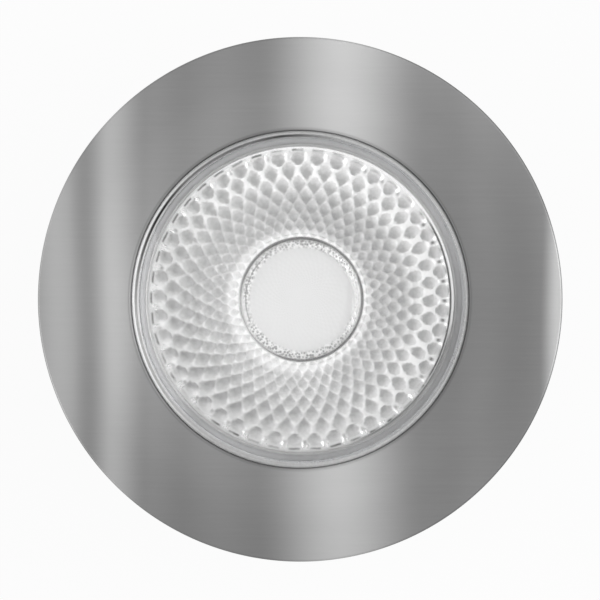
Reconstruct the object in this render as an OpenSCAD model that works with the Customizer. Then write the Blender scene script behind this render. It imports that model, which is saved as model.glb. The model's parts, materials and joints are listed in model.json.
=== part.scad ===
// In-ground light with a clip-on stainless faceplate.
// A moulded sleeve stays in the ground. The sealed light stands on a ledge inside it and
// lifts out, and the faceplate pulls off the light on three spring clips.
// Z = 0 is the finished ground level, where the underside of the faceplate's rim lies.

/* [Faceplate] */
// Outside diameter of the faceplate
plate_d = 86; // [84:0.5:96]
// Thickness of the faceplate at its rim
plate_t = 3; // [2.6:0.1:4]
// Depth of the shallow recess under the faceplate
plate_recess = 1; // [0.8:0.1:1.4]
// Bevel on the faceplate's outer and inner top edges
plate_bevel = 0.4; // [0.2:0.05:0.8]
// Diameter of the opening round the glass
opening_d = 55.4; // [54.6:0.1:56]
// Width of the notch for prising the faceplate off
pry_w = 9; // [6:0.5:14]
// Height of the notch for prising the faceplate off
pry_h = 0.9; // [0.5:0.1:1.2]

/* [Faceplate clips] */
// Number of clips under the faceplate
clip_count = 3; // [3, 6]
// Width of a clip
clip_w = 8; // [6:0.5:9]
// Thickness of the clip's spring steel
clip_t = 0.5; // [0.4:0.05:0.6]
// Length that a clip reaches below the faceplate
clip_reach = 12; // [10:0.5:14]
// How far the clip's bow stands out from its leg
clip_bow = 0.6; // [0.4:0.05:0.7]

/* [Glass] */
// Gap between the glass and the opening, all round
glass_gap = 0.25; // [0.15:0.05:0.4]
// How far the glass lies below the top of the faceplate
glass_sink = 0.3; // [0.1:0.1:0.8]
// Width of the step round the glass that the clamp ring holds
glass_step_w = 2.4; // [2:0.1:2.6]
// Thickness of the glass below the clamp ring
glass_step_t = 4; // [3:0.25:6]
// Bevel on the glass's top edge
glass_bevel = 0.7; // [0.4:0.1:1]
// Thickness of the gasket under the glass
gasket_t = 1; // [0.6:0.1:2]
// Thickness of the gasket round the glass
gasket_side_t = 0.6; // [0.4:0.05:0.8]
// Width of the gasket under the glass
gasket_w = 3.4; // [2.6:0.1:3.6]

/* [Clamp ring] */
// Thickness of the clamp ring
ring_t = 2; // [1.8:0.1:2.6]
// Outside diameter of the clamp ring
ring_d = 69.4; // [69:0.1:69.8]
// Number of screws in the clamp ring
ring_screw_count = 6; // [3, 6]
// Diameter of a clamp ring screw's shank
ring_screw_d = 2.5; // [2:0.1:2.6]
// Distance from the clamp ring's edge to the middle of a screw
ring_screw_edge = 2.4; // [2.3:0.05:2.6]
// Length of a clamp ring screw
ring_screw_len = 5; // [4:0.25:6]

/* [Lens] */
// Diameter of the lens
lens_d = 50; // [48:0.5:50.4]
// Height of the lens from its back to its front plane
lens_h = 20; // [18:0.5:26]
// Thickness of the lens's front flange
lens_flange_t = 1.6; // [1:0.1:2.4]
// Number of facets in each row
facet_count = 45; // [36:1:60]
// Number of rows of facets
facet_rows = 8; // [5:1:10]
// Height of a facet's crown
facet_rise = 0.55; // [0.3:0.05:0.9]
// Share of a row's height that the straight sides of its facets take
facet_side = 0.27; // [0.1:0.01:0.45]
// Diameter where the facets begin, round the well
facet_start_d = 21.7; // [21:0.1:24]
// Diameter of the well in the middle of the lens
well_d = 20; // [16:0.5:20.4]
// Depth of the well
well_depth = 6; // [3:0.5:8]
// Diameter of the lens's back face
lens_back_d = 16; // [15:0.25:17]
// Radius of the lens's conical side, halfway up
lens_waist_r = 18; // [16:0.25:20]
// Height of that place above the lens's back
lens_waist_h = 11.6; // [10:0.2:14]
// Width of the flange's step round the lens's conical side
lens_flange_w = 1.2; // [0.8:0.1:2]
// Diameter of the hollow over the light source
source_hollow_d = 12.4; // [11:0.2:13]
// Depth of the hollow over the light source
source_hollow_depth = 6; // [4:0.5:8]

/* [Lens bezel] */
// Wall of the bezel round the lens
bezel_wall = 1.4; // [1:0.1:2]
// How far the bezel's lip covers the lens's edge
bezel_lip_w = 0.4; // [0.2:0.05:0.8]
// Thickness of the bezel's lip
bezel_lip_t = 1; // [0.6:0.1:1.6]
// Height of the bezel
bezel_h = 5.8; // [4:0.2:8]
// Space between the gasket and the bezel
bezel_drop = 2.1; // [1.2:0.1:4]

/* [Housing] */
// Thickness of the flange that stands on the sleeve's ledge
flange_t = 5.5; // [5:0.1:7]
// Outside diameter of the housing below its flange
pot_d = 69; // [68:0.2:69.6]
// Bore of the chamber that holds the lens and the heat spreader
chamber_d = 50.8; // [50.4:0.1:51]
// Thickness of the shelf under the heat spreader
shelf_t = 3; // [2:0.25:5]
// Width of the shelf
shelf_w = 7.4; // [6.5:0.1:8]
// Bore of the driver compartment
driver_bore_d = 55; // [54:0.2:56]
// Height of the driver compartment
driver_room = 19; // [17:0.5:30]
// Number of cooling grooves round the housing
groove_count = 5; // [1:1:5]
// Height of a cooling groove
groove_w = 1.8; // [1:0.1:2]
// Depth of a cooling groove
groove_depth = 2.6; // [1:0.1:3]
// Distance from one cooling groove to the next
groove_pitch = 3.6; // [3:0.1:4]
// Distance from the flange to the first cooling groove
groove_drop = 9; // [4:0.5:10]

/* [Light source] */
// Thickness of the holder over the light source
holder_t = 2.8; // [2.4:0.1:4]
// Diameter of the holder
holder_d = 28; // [27:0.5:29]
// Side of the square light source board
source_w = 13.5; // [12:0.5:14]
// Thickness of the light source board
source_t = 1; // [0.8:0.1:1.2]
// Diameter of the phosphor disc
phosphor_d = 9.2; // [6:0.2:10.4]
// Thickness of the phosphor disc
phosphor_t = 0.4; // [0.2:0.05:0.5]
// Thickness of the thermal pad
pad_t = 0.3; // [0.2:0.05:0.5]
// Thickness of the heat spreader
spreader_t = 6; // [4:0.5:10]
// Diameter of a lead's insulation
lead_d = 1.4; // [1:0.1:1.6]

/* [Driver] */
// Diameter of the driver board
board_d = 50; // [49.6:0.1:53]
// Thickness of the driver board
board_t = 1.6; // [1:0.1:2]
// Diameter of the inductor
inductor_d = 10; // [8:0.5:12]
// Height of the inductor
inductor_h = 6; // [4:0.5:8]
// Diameter of the capacitor
capacitor_d = 8; // [6:0.5:9]
// Height of the capacitor
capacitor_h = 7.5; // [6:0.5:8]
// Size of the rectifier
rectifier_size = [8, 6, 2.6]; // [4:0.2:9]
// Size of the driver chip
chip_size = [5, 6, 1.8]; // [1.4:0.2:7]
// Size of the input terminal
terminal_size = [10, 8, 7]; // [6:0.5:10]
// Length of the board's standoffs
standoff_len = 4.4; // [3:0.2:6]
// Diameter of a standoff
standoff_d = 4; // [3.6:0.1:5]

/* [Rear cover] */
// Thickness of the rear cover
cover_t = 4; // [3:0.25:6]
// Height of the spigot that enters the housing
spigot_h = 3; // [2.8:0.1:3.4]
// Wall of the spigot
spigot_wall = 4.4; // [4:0.1:5]
// Thickness of the seal ring's section
seal_d = 1.4; // [1:0.05:1.8]
// Number of rear cover screws
cover_screw_count = 6; // [3,6]
// Diameter of a rear cover screw's shank
cover_screw_d = 2.5; // [2:0.1:3]
// Length of a rear cover screw below its head
cover_screw_len = 10; // [8:0.5:12]

/* [Cable gland] */
// Diameter of the gland's threaded shank
gland_shank_d = 16; // [15:0.5:18]
// Width of the gland's hexagon across its flats
gland_flats = 20; // [19:0.5:24]
// Height of the gland's hexagon
gland_hex_h = 5; // [4:0.5:7]
// Height of the neck that the gland's nut screws onto
gland_neck_h = 8; // [7:0.5:10]
// Diameter of the cable hole through the gland's seal
cable_hole_d = 7; // [5:0.2:8]
// Height of the gland's nut
gland_nut_h = 14; // [13:0.5:16]
// Thickness of the gland's washer
washer_t = 1; // [0.8:0.1:2]
// Thickness of the gland's locknut
locknut_t = 2.4; // [2:0.1:2.6]

/* [Side springs] */
// Width of a side spring
spring_w = 9; // [7:0.5:10]
// Thickness of a side spring
spring_t = 0.5; // [0.4:0.05:0.6]
// Length of a side spring's foot
spring_foot = 10; // [9:0.5:11]
// Height of the spring's foot above the rear cover
spring_rise = 3; // [2.5:0.5:6]
// Height of the spring's ramp above its foot
spring_ramp = 12; // [10:0.5:14]
// Height of the spring's tip above its ramp
spring_tip = 7; // [5:0.5:8]
// How far the tip points back in
spring_tip_in = 2.8; // [2:0.1:3]
// Diameter of a spring screw's shank
spring_screw_d = 2.4; // [2:0.1:2.6]
// Depth of a spring screw in the housing
spring_screw_len = 2.4; // [2:0.1:2.8]
// Distance from the housing's axis to the flat behind a spring
spring_flat = 31; // [30.6:0.1:31.4]

/* [Sleeve] */
// Outside diameter of the sleeve
sleeve_d = 80; // [79.4:0.1:81]
// Height of the sleeve
sleeve_h = 100; // [96:1:140]
// Wall of the sleeve below its ledge
sleeve_wall = 2.8; // [2.4:0.1:2.9]
// Wall of the sleeve round the flange
sleeve_rim_wall = 1.7; // [1.3:0.1:1.9]
// Width of the foot inside the sleeve's base
sleeve_foot_w = 6; // [3:0.5:9]
// Thickness of the foot
sleeve_foot_t = 3; // [2:0.25:5]
// Width of a cable arch in the sleeve's base
arch_w = 20; // [14:1:24]
// Height of a cable arch
arch_h = 17; // [14:1:20]
// Number of keying grooves on the outside of the sleeve
key_count = 12; // [4:4:16]
// Width of a keying groove
key_w = 2.4; // [1.6:0.1:3]
// Depth of a keying groove
key_depth = 0.7; // [0.5:0.1:1]
// Distance from a groove's ends to the sleeve's ledge and to the top of the cable arches
key_end = 8; // [4:1:14]

/* [Hidden] */
$fn = 96;

// Clearances
fit = 0.05;          // between pieces that are fitted into each other
slide_gap = 0.3;     // between pieces that slide past each other
board_gap = 0.4;     // least space round the driver board
through = 1;         // how far a cutting shape runs past a face

// Radii
plate_r = plate_d / 2;
opening_r = opening_d / 2;
sleeve_r = sleeve_d / 2;
sleeve_in_r = sleeve_r - sleeve_wall;
sleeve_rim_r = sleeve_r - sleeve_rim_wall;
flange_r = sleeve_rim_r - slide_gap;
pot_r = pot_d / 2;
ring_r = ring_d / 2;
ring_bore_r = opening_r - glass_gap + slide_gap;
glass_r = opening_r - glass_gap;
glass_step_r = glass_r + glass_step_w;
gasket_r = glass_step_r + gasket_side_t;
lens_r = lens_d / 2;
bezel_in_r = lens_r + fit;
bezel_r = bezel_in_r + bezel_wall;
bezel_bore_r = bezel_r + fit;
chamber_r = chamber_d / 2;
driver_bore_r = max(driver_bore_d, board_d + 2 * board_gap) / 2;
shelf_in_r = chamber_r - shelf_w;

// Heights, from the top down
flange_top = plate_recess;
flange_bottom = flange_top - flange_t;
ring_top = flange_top - 2 * fit;
ring_bottom = ring_top - ring_t;
glass_top = plate_t - glass_sink;
glass_bottom = ring_bottom - glass_step_t;
rebate_z = glass_bottom - gasket_t;
bezel_top = rebate_z - bezel_drop;
bezel_bottom = bezel_top - bezel_h;
lens_top = bezel_top - bezel_lip_t;
lens_bottom = lens_top - lens_h;
spreader_top = lens_bottom - holder_t;
shelf_top = spreader_top - spreader_t;
shelf_bottom = shelf_top - shelf_t;
board_top = shelf_bottom - standoff_len;
board_bottom = board_top - board_t;
pot_bottom = shelf_bottom - driver_room;
cover_bottom = pot_bottom - cover_t;
gland_top = cover_bottom - washer_t;
gland_hex_bottom = gland_top - gland_hex_h;
gland_neck_bottom = gland_hex_bottom - gland_neck_h;

// Places round the axis
ring_screw_pcr = ring_r - ring_screw_edge;
cover_screw_pcr = (driver_bore_r + pot_r) / 2;
spreader_screw_pcr = (chamber_r + shelf_in_r) / 2;
screw_turn = 30;           // angle of the first clamp ring and rear cover screw
clip_turn = 60;            // angle of the first faceplate clip
spring_turn = 0;           // angle of the first side spring
spreader_screw_turn = 60;  // angle of the first heat spreader screw
spring_count = 3;
spreader_screw_count = 3;
standoff_count = 3;

// Faceplate clips
clip_slot_wall = 0.5;      // housing left outside a slot's corners
clip_slot_web = 0.7;       // housing left between a slot and the clamp ring's seat
clip_slot_gap = 0.15;      // between a clip's leg and the slot's inner side
clip_slot_side = 0.5;      // between a clip's edges and the slot's ends
clip_slot_w = clip_w + 2 * clip_slot_side;
clip_slot_out = sqrt(pow(flange_r - clip_slot_wall, 2) - pow(clip_slot_w / 2, 2));
clip_slot_in = ring_r + clip_slot_web;
clip_leg_x = clip_slot_in + clip_slot_gap + clip_t / 2;

// Side springs
spring_pocket_gap = 1.5;   // round a spring, in the housing's side
spring_foot_x = spring_flat + spring_t / 2;
spring_hinge_x = spring_foot_x + fit;
spring_bend_z = pot_bottom + spring_foot + spring_rise;
spring_peak_z = spring_bend_z + spring_ramp;
spring_tip_z = spring_peak_z + spring_tip;
spring_peak_x = sqrt(pow(sleeve_in_r - slide_gap, 2) - pow(spring_w / 2, 2)) - spring_t;
spring_screw_z = spring_bend_z - spring_foot / 2;

// Light source
source_window_step = 1;    // the holder's window is smaller than the lens's hollow
source_window_r = source_hollow_d / 2 - source_window_step;
holder_screw_r = 1.1;
holder_screw_edge = 2.4;   // from the holder's edge to the middle of a screw
holder_screw_pcr = holder_d / 2 - holder_screw_edge;
holder_screw_depth = 4;    // in the heat spreader
lead_grip = 2.6;           // length of a lead inside the holder
lead_start_x = holder_d / 2 - lead_grip;
lead_bend_r = 1.4;
lead_x = holder_d / 2 + lead_bend_r + 0.6;
lead_y = 1.6;
lead_z = spreader_top + holder_t / 2;

// Heat spreader and driver
spreader_screw_r = 1.25;
standoff_pin_r = 1.2;
standoff_pin_len = 2;
standoff_thread_len = 3;
board_screw_r = 0.9;
// The standoffs leave the same wall in the shelf, inside them, and in the board, outside them
standoff_pcr = (shelf_in_r + standoff_pin_r + board_d / 2 - board_screw_r) / 2;
board_place = 9;           // distance of the driver's components from the board's middle lines

// Moves a copy of its children to each of count places at radius r
module around(count, r = 0, first = 0) {
    for (i = [0 : count - 1])
        rotate([0, 0, first + i * 360 / count]) translate([r, 0, 0]) children();
}

// A round ring from z0 up to z1
module ring(r_out, r_in, z0, z1) {
    translate([0, 0, z0]) difference() {
        cylinder(r = r_out, h = z1 - z0);
        translate([0, 0, -through]) cylinder(r = r_in, h = z1 - z0 + 2 * through);
    }
}

// A round bar from z0 up to z1
module bar(r, z0, z1) {
    translate([0, 0, z0]) cylinder(r = r, h = z1 - z0);
}

// A hexagonal bar from z0 up to z1
module hex_bar(flats, z0, z1) {
    translate([0, 0, z0]) cylinder(d = flats / cos(30), h = z1 - z0, $fn = 6);
}

// Unit normal of the line from a to b
function side_of(a, b) = let (d = b - a) [-d[1], d[0]] / norm(d);

// Mitre vector at point i of an open path
function mitre(path, i) =
    i == 0 ? side_of(path[0], path[1]) :
    i == len(path) - 1 ? side_of(path[i - 1], path[i]) :
    let (n = side_of(path[i - 1], path[i]) + side_of(path[i], path[i + 1])) 2 * n / (n * n);

// Outline of a sheet metal strip of thickness t along a path
function strip(path, t) = concat(
    [for (i = [0 : len(path) - 1]) path[i] + mitre(path, i) * t / 2],
    [for (i = [len(path) - 1 : -1 : 0]) path[i] - mitre(path, i) * t / 2]
);

// Bends a strip in the plane of radius and height, w wide along the tangent
module bent_strip(path, t, w) {
    rotate([90, 0, 0]) linear_extrude(height = w, center = true) polygon(strip(path, t));
}

// Low head screw with a hexagon socket, head up, its head's underside at z = 0
module pan_screw(r, len) {
    head_h = 1.3 * r;
    difference() {
        union() {
            bar(r, -len, 0);
            bar(1.85 * r, 0, head_h);
        }
        hex_bar(1.5 * r, head_h / 3, head_h + through);
    }
}

// Countersunk screw with a hexagon socket, head up, its top at z = 0
module countersunk_screw(r, len, head_r, head_h) {
    difference() {
        union() {
            bar(r, -len, -head_h / 2);
            translate([0, 0, -head_h]) cylinder(r1 = r, r2 = head_r, h = head_h);
        }
        hex_bar(1.3 * r, -head_h * 2 / 3, through);
    }
}

module mounting_sleeve() {
    color("#2b2d2e") difference() {
        rotate_extrude() polygon([
            [sleeve_r, 0],
            [sleeve_rim_r, 0],
            [sleeve_rim_r, flange_bottom],
            [sleeve_in_r, flange_bottom],
            [sleeve_in_r, -sleeve_h + sleeve_foot_t],
            [sleeve_in_r - sleeve_foot_w, -sleeve_h + sleeve_foot_t],
            [sleeve_in_r - sleeve_foot_w, -sleeve_h],
            [sleeve_r, -sleeve_h]
        ]);
        cable_arches();
        keying_grooves();
    }
}

module cable_arches() {
    translate([0, 0, -sleeve_h - through]) rotate([90, 0, 0])
        linear_extrude(height = 3 * sleeve_r, center = true) {
            translate([0, arch_h + through - arch_w / 2]) circle(d = arch_w);
            translate([-arch_w / 2, 0]) square([arch_w, arch_h + through - arch_w / 2]);
        }
}

module keying_grooves() {
    key_top = flange_bottom - key_end;
    key_bottom = -sleeve_h + arch_h + key_end;
    around(key_count, sleeve_r - key_depth, 180 / key_count)
        translate([0, -key_w / 2, key_bottom]) cube([2 * key_depth, key_w, key_top - key_bottom]);
}

module faceplate() {
    rim_r = sleeve_r + slide_gap;
    color("#a9abad") difference() {
        rotate_extrude() polygon([
            [opening_r, plate_recess],
            [opening_r, plate_t - plate_bevel],
            [opening_r + plate_bevel, plate_t],
            [plate_r - plate_bevel, plate_t],
            [plate_r, plate_t - plate_bevel],
            [plate_r, 0],
            [rim_r, 0],
            [rim_r, plate_recess]
        ]);
        translate([-pry_w / 2, -plate_r - through, -through])
            cube([pry_w, plate_r - rim_r + 2 * through, pry_h + through]);
    }
}

module faceplate_clips() {
    foot_z = plate_recess - clip_t / 2;
    bow_top = flange_bottom - slide_gap;
    tip_z = plate_recess - clip_reach;
    path = [
        [clip_slot_out - slide_gap, foot_z],
        [clip_leg_x, foot_z],
        [clip_leg_x, bow_top],
        [clip_leg_x + clip_bow, (bow_top + tip_z) / 2],
        [clip_leg_x, tip_z]
    ];
    color("#c4c6c8") around(clip_count, 0, clip_turn) bent_strip(path, clip_t, clip_w);
}

// Cooling grooves as steps in the housing's outer line, from the top down
function groove_steps() = let (top = flange_bottom - groove_drop) [
    for (i = [0 : groove_count - 1])
        let (z = top - i * groove_pitch)
            each [
                [pot_r, z],
                [pot_r - groove_depth, z],
                [pot_r - groove_depth, z - groove_w],
                [pot_r, z - groove_w]
            ]
];

module housing() {
    pocket_w = spring_w + 2 * spring_pocket_gap;
    pocket_z = spring_bend_z - spring_foot - spring_pocket_gap;
    color("#8d9194") difference() {
        rotate_extrude() polygon(concat(
            [[flange_r, flange_top], [flange_r, flange_bottom], [pot_r, flange_bottom]],
            groove_steps(),
            [
                [pot_r, pot_bottom],
                [driver_bore_r, pot_bottom],
                [driver_bore_r, shelf_bottom],
                [shelf_in_r, shelf_bottom],
                [shelf_in_r, shelf_top],
                [chamber_r, shelf_top],
                [chamber_r, bezel_bottom],
                [bezel_bore_r, bezel_bottom],
                [bezel_bore_r, rebate_z],
                [gasket_r + fit, rebate_z],
                [gasket_r + fit, ring_bottom],
                [ring_r + fit, ring_bottom],
                [ring_r + fit, flange_top]
            ]
        ));
        around(clip_count, 0, clip_turn)
            translate([clip_slot_in, -clip_slot_w / 2, flange_bottom - through])
                cube([clip_slot_out - clip_slot_in, clip_slot_w, flange_t + 2 * through]);
        around(spring_count, 0, spring_turn)
            translate([spring_flat, -pocket_w / 2, pocket_z])
                cube([pot_r, pocket_w, spring_tip_z + spring_pocket_gap - pocket_z]);
        around(spring_count, 0, spring_turn)
            translate([spring_flat - spring_screw_len - fit, 0, spring_screw_z]) rotate([0, 90, 0])
                cylinder(d = spring_screw_d + 2 * fit, h = pot_r);
        around(ring_screw_count, ring_screw_pcr, screw_turn)
            bar(ring_screw_d / 2 + fit, ring_top - ring_screw_len - fit, ring_top);
        around(cover_screw_count, cover_screw_pcr, screw_turn)
            bar(cover_screw_d / 2 + fit, pot_bottom - through, cover_bottom + cover_screw_len + fit);
        around(spreader_screw_count, spreader_screw_pcr, spreader_screw_turn)
            bar(spreader_screw_r + fit, shelf_bottom - through, shelf_top + through);
        around(standoff_count, standoff_pcr)
            bar(standoff_pin_r + fit, shelf_bottom - through, shelf_bottom + standoff_pin_len + fit);
        lead_holes(shelf_bottom, shelf_top);
    }
}

module cover_glass() {
    color("#dfe8ea", 0.35) rotate_extrude() polygon([
        [0, glass_bottom],
        [glass_step_r, glass_bottom],
        [glass_step_r, ring_bottom],
        [glass_r, ring_bottom],
        [glass_r, glass_top - glass_bevel],
        [glass_r - glass_bevel, glass_top],
        [0, glass_top]
    ]);
}

module glass_gasket() {
    side_r = glass_step_r + fit;
    color("#d5d6d4") rotate_extrude() polygon([
        [gasket_r - gasket_w, rebate_z],
        [gasket_r, rebate_z],
        [gasket_r, ring_bottom - fit],
        [side_r, ring_bottom - fit],
        [side_r, glass_bottom],
        [gasket_r - gasket_w, glass_bottom]
    ]);
}

ring_head_h = 0.65 * ring_t;
ring_head_r = 0.75 * ring_screw_d + ring_head_h / 4;

module clamp_ring() {
    color("#b4b6b8") difference() {
        ring(ring_r, ring_bore_r, ring_bottom, ring_top);
        around(ring_screw_count, ring_screw_pcr, screw_turn) {
            bar(ring_screw_d / 2 + fit, ring_bottom - through, ring_top);
            translate([0, 0, ring_top - fit - ring_head_h])
                cylinder(r1 = ring_screw_d / 2 + fit, r2 = ring_head_r + fit, h = ring_head_h);
            bar(ring_head_r + fit, ring_top - fit, ring_top + through);
        }
    }
}

module clamp_ring_screws() {
    color("#cfd1d3") around(ring_screw_count, ring_screw_pcr, screw_turn)
        translate([0, 0, ring_top - fit])
            countersunk_screw(ring_screw_d / 2, ring_screw_len - fit, ring_head_r, ring_head_h);
}

module lens_bezel() {
    color("#b9bcbe") rotate_extrude() polygon([
        [bezel_in_r, bezel_bottom],
        [bezel_r, bezel_bottom],
        [bezel_r, bezel_top],
        [lens_r - bezel_lip_w, bezel_top],
        [lens_r - bezel_lip_w, lens_top],
        [bezel_in_r, lens_top]
    ]);
}

// The lens is one closed surface. Each facet is a low crown over a six-sided cell of a
// lattice whose rows widen by a steady ratio, with every other row turned by half a facet.
facet_steps = 2 * facet_count;
facet_end_r = lens_r - bezel_lip_w;
row_ratio = ln(2 * facet_end_r / facet_start_d) / facet_rows;
corner_shift = row_ratio * (0.5 - facet_side);

function facet_r(rows_out) = facet_start_d / 2 * exp(rows_out * row_ratio);
function on_circle(r, z, i) = [r * cos(i * 360 / facet_steps), r * sin(i * 360 / facet_steps), z];
function full_circle(r, z) = [for (i = [0 : facet_steps - 1]) on_circle(r, z, i)];

// The zigzag line of corners between row k - 1 and row k
function corner_line(k) = [
    for (i = [0 : facet_steps - 1])
        let (crown_below = (i - k + 1) % 2 == 0)
            on_circle(
                facet_r(k) * exp(
                    k == 0 || k == facet_rows ? 0 : crown_below ? corner_shift : -corner_shift
                ),
                lens_top, i
            )
];

// The crowns of row k
function crown_line(k) = [
    for (j = [0 : facet_count - 1])
        on_circle(facet_r(k + 0.5), lens_top + facet_rise, 2 * j + k % 2)
];

// The plain circles of the lens: outside and back first, from the front flange, then the well
function back_circles() = [
    full_circle(lens_r, lens_top),
    full_circle(lens_r, lens_top - lens_flange_t),
    full_circle(lens_r - lens_flange_w, lens_top - lens_flange_t),
    full_circle(lens_waist_r, lens_bottom + lens_waist_h),
    full_circle(lens_back_d / 2, lens_bottom),
    full_circle(source_hollow_d / 2, lens_bottom),
    full_circle(source_hollow_d / 2, lens_bottom + source_hollow_depth)
];
function well_circles() = [
    full_circle(well_d / 2, lens_top),
    full_circle(well_d / 2, lens_top - well_depth)
];

// Faces between two circles of points that start at a and b
function band(a, b) = [
    for (i = [0 : facet_steps - 1])
        let (n = (i + 1) % facet_steps)
            each [[a + i, b + n, a + n], [a + i, b + i, b + n]]
];

// Six faces round each crown of row k
function crown_faces(k, crown_start) = [
    for (j = [0 : facet_count - 1])
        let (
            c = crown_start + k * facet_count + j,
            i = 2 * j + k % 2,
            before = (i + facet_steps - 1) % facet_steps,
            after = (i + 1) % facet_steps,
            lower = k * facet_steps,
            upper = (k + 1) * facet_steps
        )
            each [
                [c, upper + i, upper + before],
                [c, upper + after, upper + i],
                [c, lower + after, upper + after],
                [c, lower + i, lower + after],
                [c, lower + before, lower + i],
                [c, upper + before, lower + before]
            ]
];

module lens() {
    corners = [for (k = [0 : facet_rows]) each corner_line(k)];
    crowns = [for (k = [0 : facet_rows - 1]) each crown_line(k)];
    back = back_circles();
    well = well_circles();
    crown_start = len(corners);
    back_start = crown_start + len(crowns);
    well_start = back_start + len(back) * facet_steps;
    hollow_middle = well_start + len(well) * facet_steps;
    well_middle = hollow_middle + 1;
    last_back = back_start + (len(back) - 1) * facet_steps;
    last_well = well_start + facet_steps;
    points = concat(
        corners, crowns, [for (c = back) each c], [for (c = well) each c],
        [[0, 0, lens_bottom + source_hollow_depth], [0, 0, lens_top - well_depth]]
    );
    faces = concat(
        [for (k = [0 : facet_rows - 1]) each crown_faces(k, crown_start)],
        band(back_start, facet_rows * facet_steps),
        [for (c = [1 : len(back) - 1]) each
            band(back_start + c * facet_steps, back_start + (c - 1) * facet_steps)],
        [for (i = [0 : facet_steps - 1])
            [last_back + (i + 1) % facet_steps, hollow_middle, last_back + i]],
        band(0, well_start),
        band(well_start, last_well),
        [for (i = [0 : facet_steps - 1])
            [last_well + i, well_middle, last_well + (i + 1) % facet_steps]]
    );
    color("#eef2f3", 0.6) polyhedron(points = points, faces = faces);
}

module source_holder() {
    pocket_w = source_w + 2 * fit;
    pocket_top = spreader_top + pad_t + source_t + fit;
    color("#f2f2ee") difference() {
        bar(holder_d / 2, spreader_top, lens_bottom);
        bar(source_window_r, spreader_top - through, lens_bottom + through);
        translate([-pocket_w / 2, -pocket_w / 2, spreader_top - through])
            cube([pocket_w, pocket_w, pocket_top - spreader_top + through]);
        around(2, holder_screw_pcr, 90)
            bar(holder_screw_r + fit, spreader_top - through, lens_bottom + through);
        for (side = [-1, 1])
            translate([lead_start_x - fit, side * lead_y, lead_z]) rotate([0, 90, 0])
                cylinder(d = lead_d + 2 * fit, h = holder_d / 2);
    }
}

module source_board() {
    z = spreader_top + pad_t;
    color("#d9dcdd") translate([-source_w / 2, -source_w / 2, z]) cube([source_w, source_w, source_t]);
}

module source_phosphor() {
    z = spreader_top + pad_t + source_t;
    color("#e8c840") bar(phosphor_d / 2, z, z + phosphor_t);
}

module thermal_pad() {
    color("#7f8a99") translate([-source_w / 2, -source_w / 2, spreader_top])
        cube([source_w, source_w, pad_t]);
}

module holder_screws() {
    color("#cfd1d3") around(2, holder_screw_pcr, 90) translate([0, 0, lens_bottom])
        pan_screw(holder_screw_r, holder_t + holder_screw_depth);
}

module heat_spreader() {
    color("#b5b9bc") difference() {
        bar(chamber_r - fit, shelf_top, spreader_top);
        around(2, holder_screw_pcr, 90)
            bar(holder_screw_r + fit, spreader_top - holder_screw_depth - fit, spreader_top + through);
        around(spreader_screw_count, spreader_screw_pcr, spreader_screw_turn)
            bar(spreader_screw_r + fit, shelf_top - through, spreader_top + through);
        lead_holes(shelf_top, spreader_top);
    }
}

// The ways for the leads through a plate from z0 up to z1
module lead_holes(z0, z1) {
    for (side = [-1, 1])
        translate([lead_x, side * lead_y, 0]) bar(lead_d / 2 + slide_gap, z0 - through, z1 + through);
}

module spreader_screws() {
    color("#cfd1d3") around(spreader_screw_count, spreader_screw_pcr, spreader_screw_turn)
        translate([0, 0, spreader_top]) pan_screw(spreader_screw_r, spreader_t + shelf_t - slide_gap);
}

// A lead leaves the holder's side, bends down and runs through the heat spreader to the board
module source_leads() {
    color("#b83227") for (side = [-1, 1]) translate([0, side * lead_y, 0]) {
        translate([lead_start_x, 0, lead_z]) rotate([0, 90, 0])
            cylinder(d = lead_d, h = lead_x - lead_bend_r - lead_start_x);
        translate([lead_x - lead_bend_r, 0, lead_z - lead_bend_r]) rotate([90, 0, 0])
            rotate_extrude(angle = 90) translate([lead_bend_r, 0]) circle(d = lead_d);
        translate([lead_x, 0, 0]) bar(lead_d / 2, board_top, lead_z - lead_bend_r);
    }
}

module driver_board() {
    color("#1f5a36") difference() {
        bar(board_d / 2, board_bottom, board_top);
        around(standoff_count, standoff_pcr)
            bar(board_screw_r + fit, board_bottom - through, board_top + through);
    }
}

module board_standoffs() {
    color("#c9a14a") around(standoff_count, standoff_pcr) difference() {
        union() {
            bar(standoff_d / 2, board_top, shelf_bottom);
            bar(standoff_pin_r, board_top, shelf_bottom + standoff_pin_len);
        }
        bar(board_screw_r + fit, board_top - through, board_top + standoff_thread_len + fit);
    }
}

module board_screws() {
    color("#cfd1d3") around(standoff_count, standoff_pcr)
        translate([0, 0, board_bottom]) rotate([180, 0, 0])
            pan_screw(board_screw_r, board_t + standoff_thread_len);
}

// A block on the underside of the driver board, with its middle at x and y
module board_block(x, y, size) {
    translate([x - size[0] / 2, y - size[1] / 2, board_bottom - size[2]]) cube(size);
}

module driver_inductor() {
    flange_t = 1;
    color("#3a3d40") translate([-board_place, board_place / 2, board_bottom - inductor_h]) difference() {
        bar(inductor_d / 2, 0, inductor_h);
        ring(inductor_d / 2 + through, inductor_d / 2 - flange_t, flange_t, inductor_h - flange_t);
    }
}

module driver_capacitor() {
    neck = 0.6;
    color("#23283a") translate([board_place, board_place, board_bottom - capacitor_h]) {
        bar(capacitor_d / 2, 0, capacitor_h - neck);
        bar(capacitor_d / 2 - neck, 0, capacitor_h);
    }
}

module driver_rectifier() {
    color("#26282a") board_block(-board_place, -board_place, rectifier_size);
}

module driver_chip() {
    color("#202224") board_block(0, 0, chip_size);
}

module input_terminal() {
    pitch = terminal_size[0] / 2;
    color("#d8d9d6") difference() {
        board_block(board_place, -board_place, terminal_size);
        for (side = [-1, 1])
            translate([
                board_place + side * pitch / 2,
                -board_place,
                board_bottom - terminal_size[2] - through
            ])
                cylinder(d = pitch / 2, h = terminal_size[2] / 2 + through);
    }
}

// The seal's groove starts a little above the rear cover's plate
seal_groove_bottom = pot_bottom + 0.8;
seal_groove_top = seal_groove_bottom + seal_d;

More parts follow.
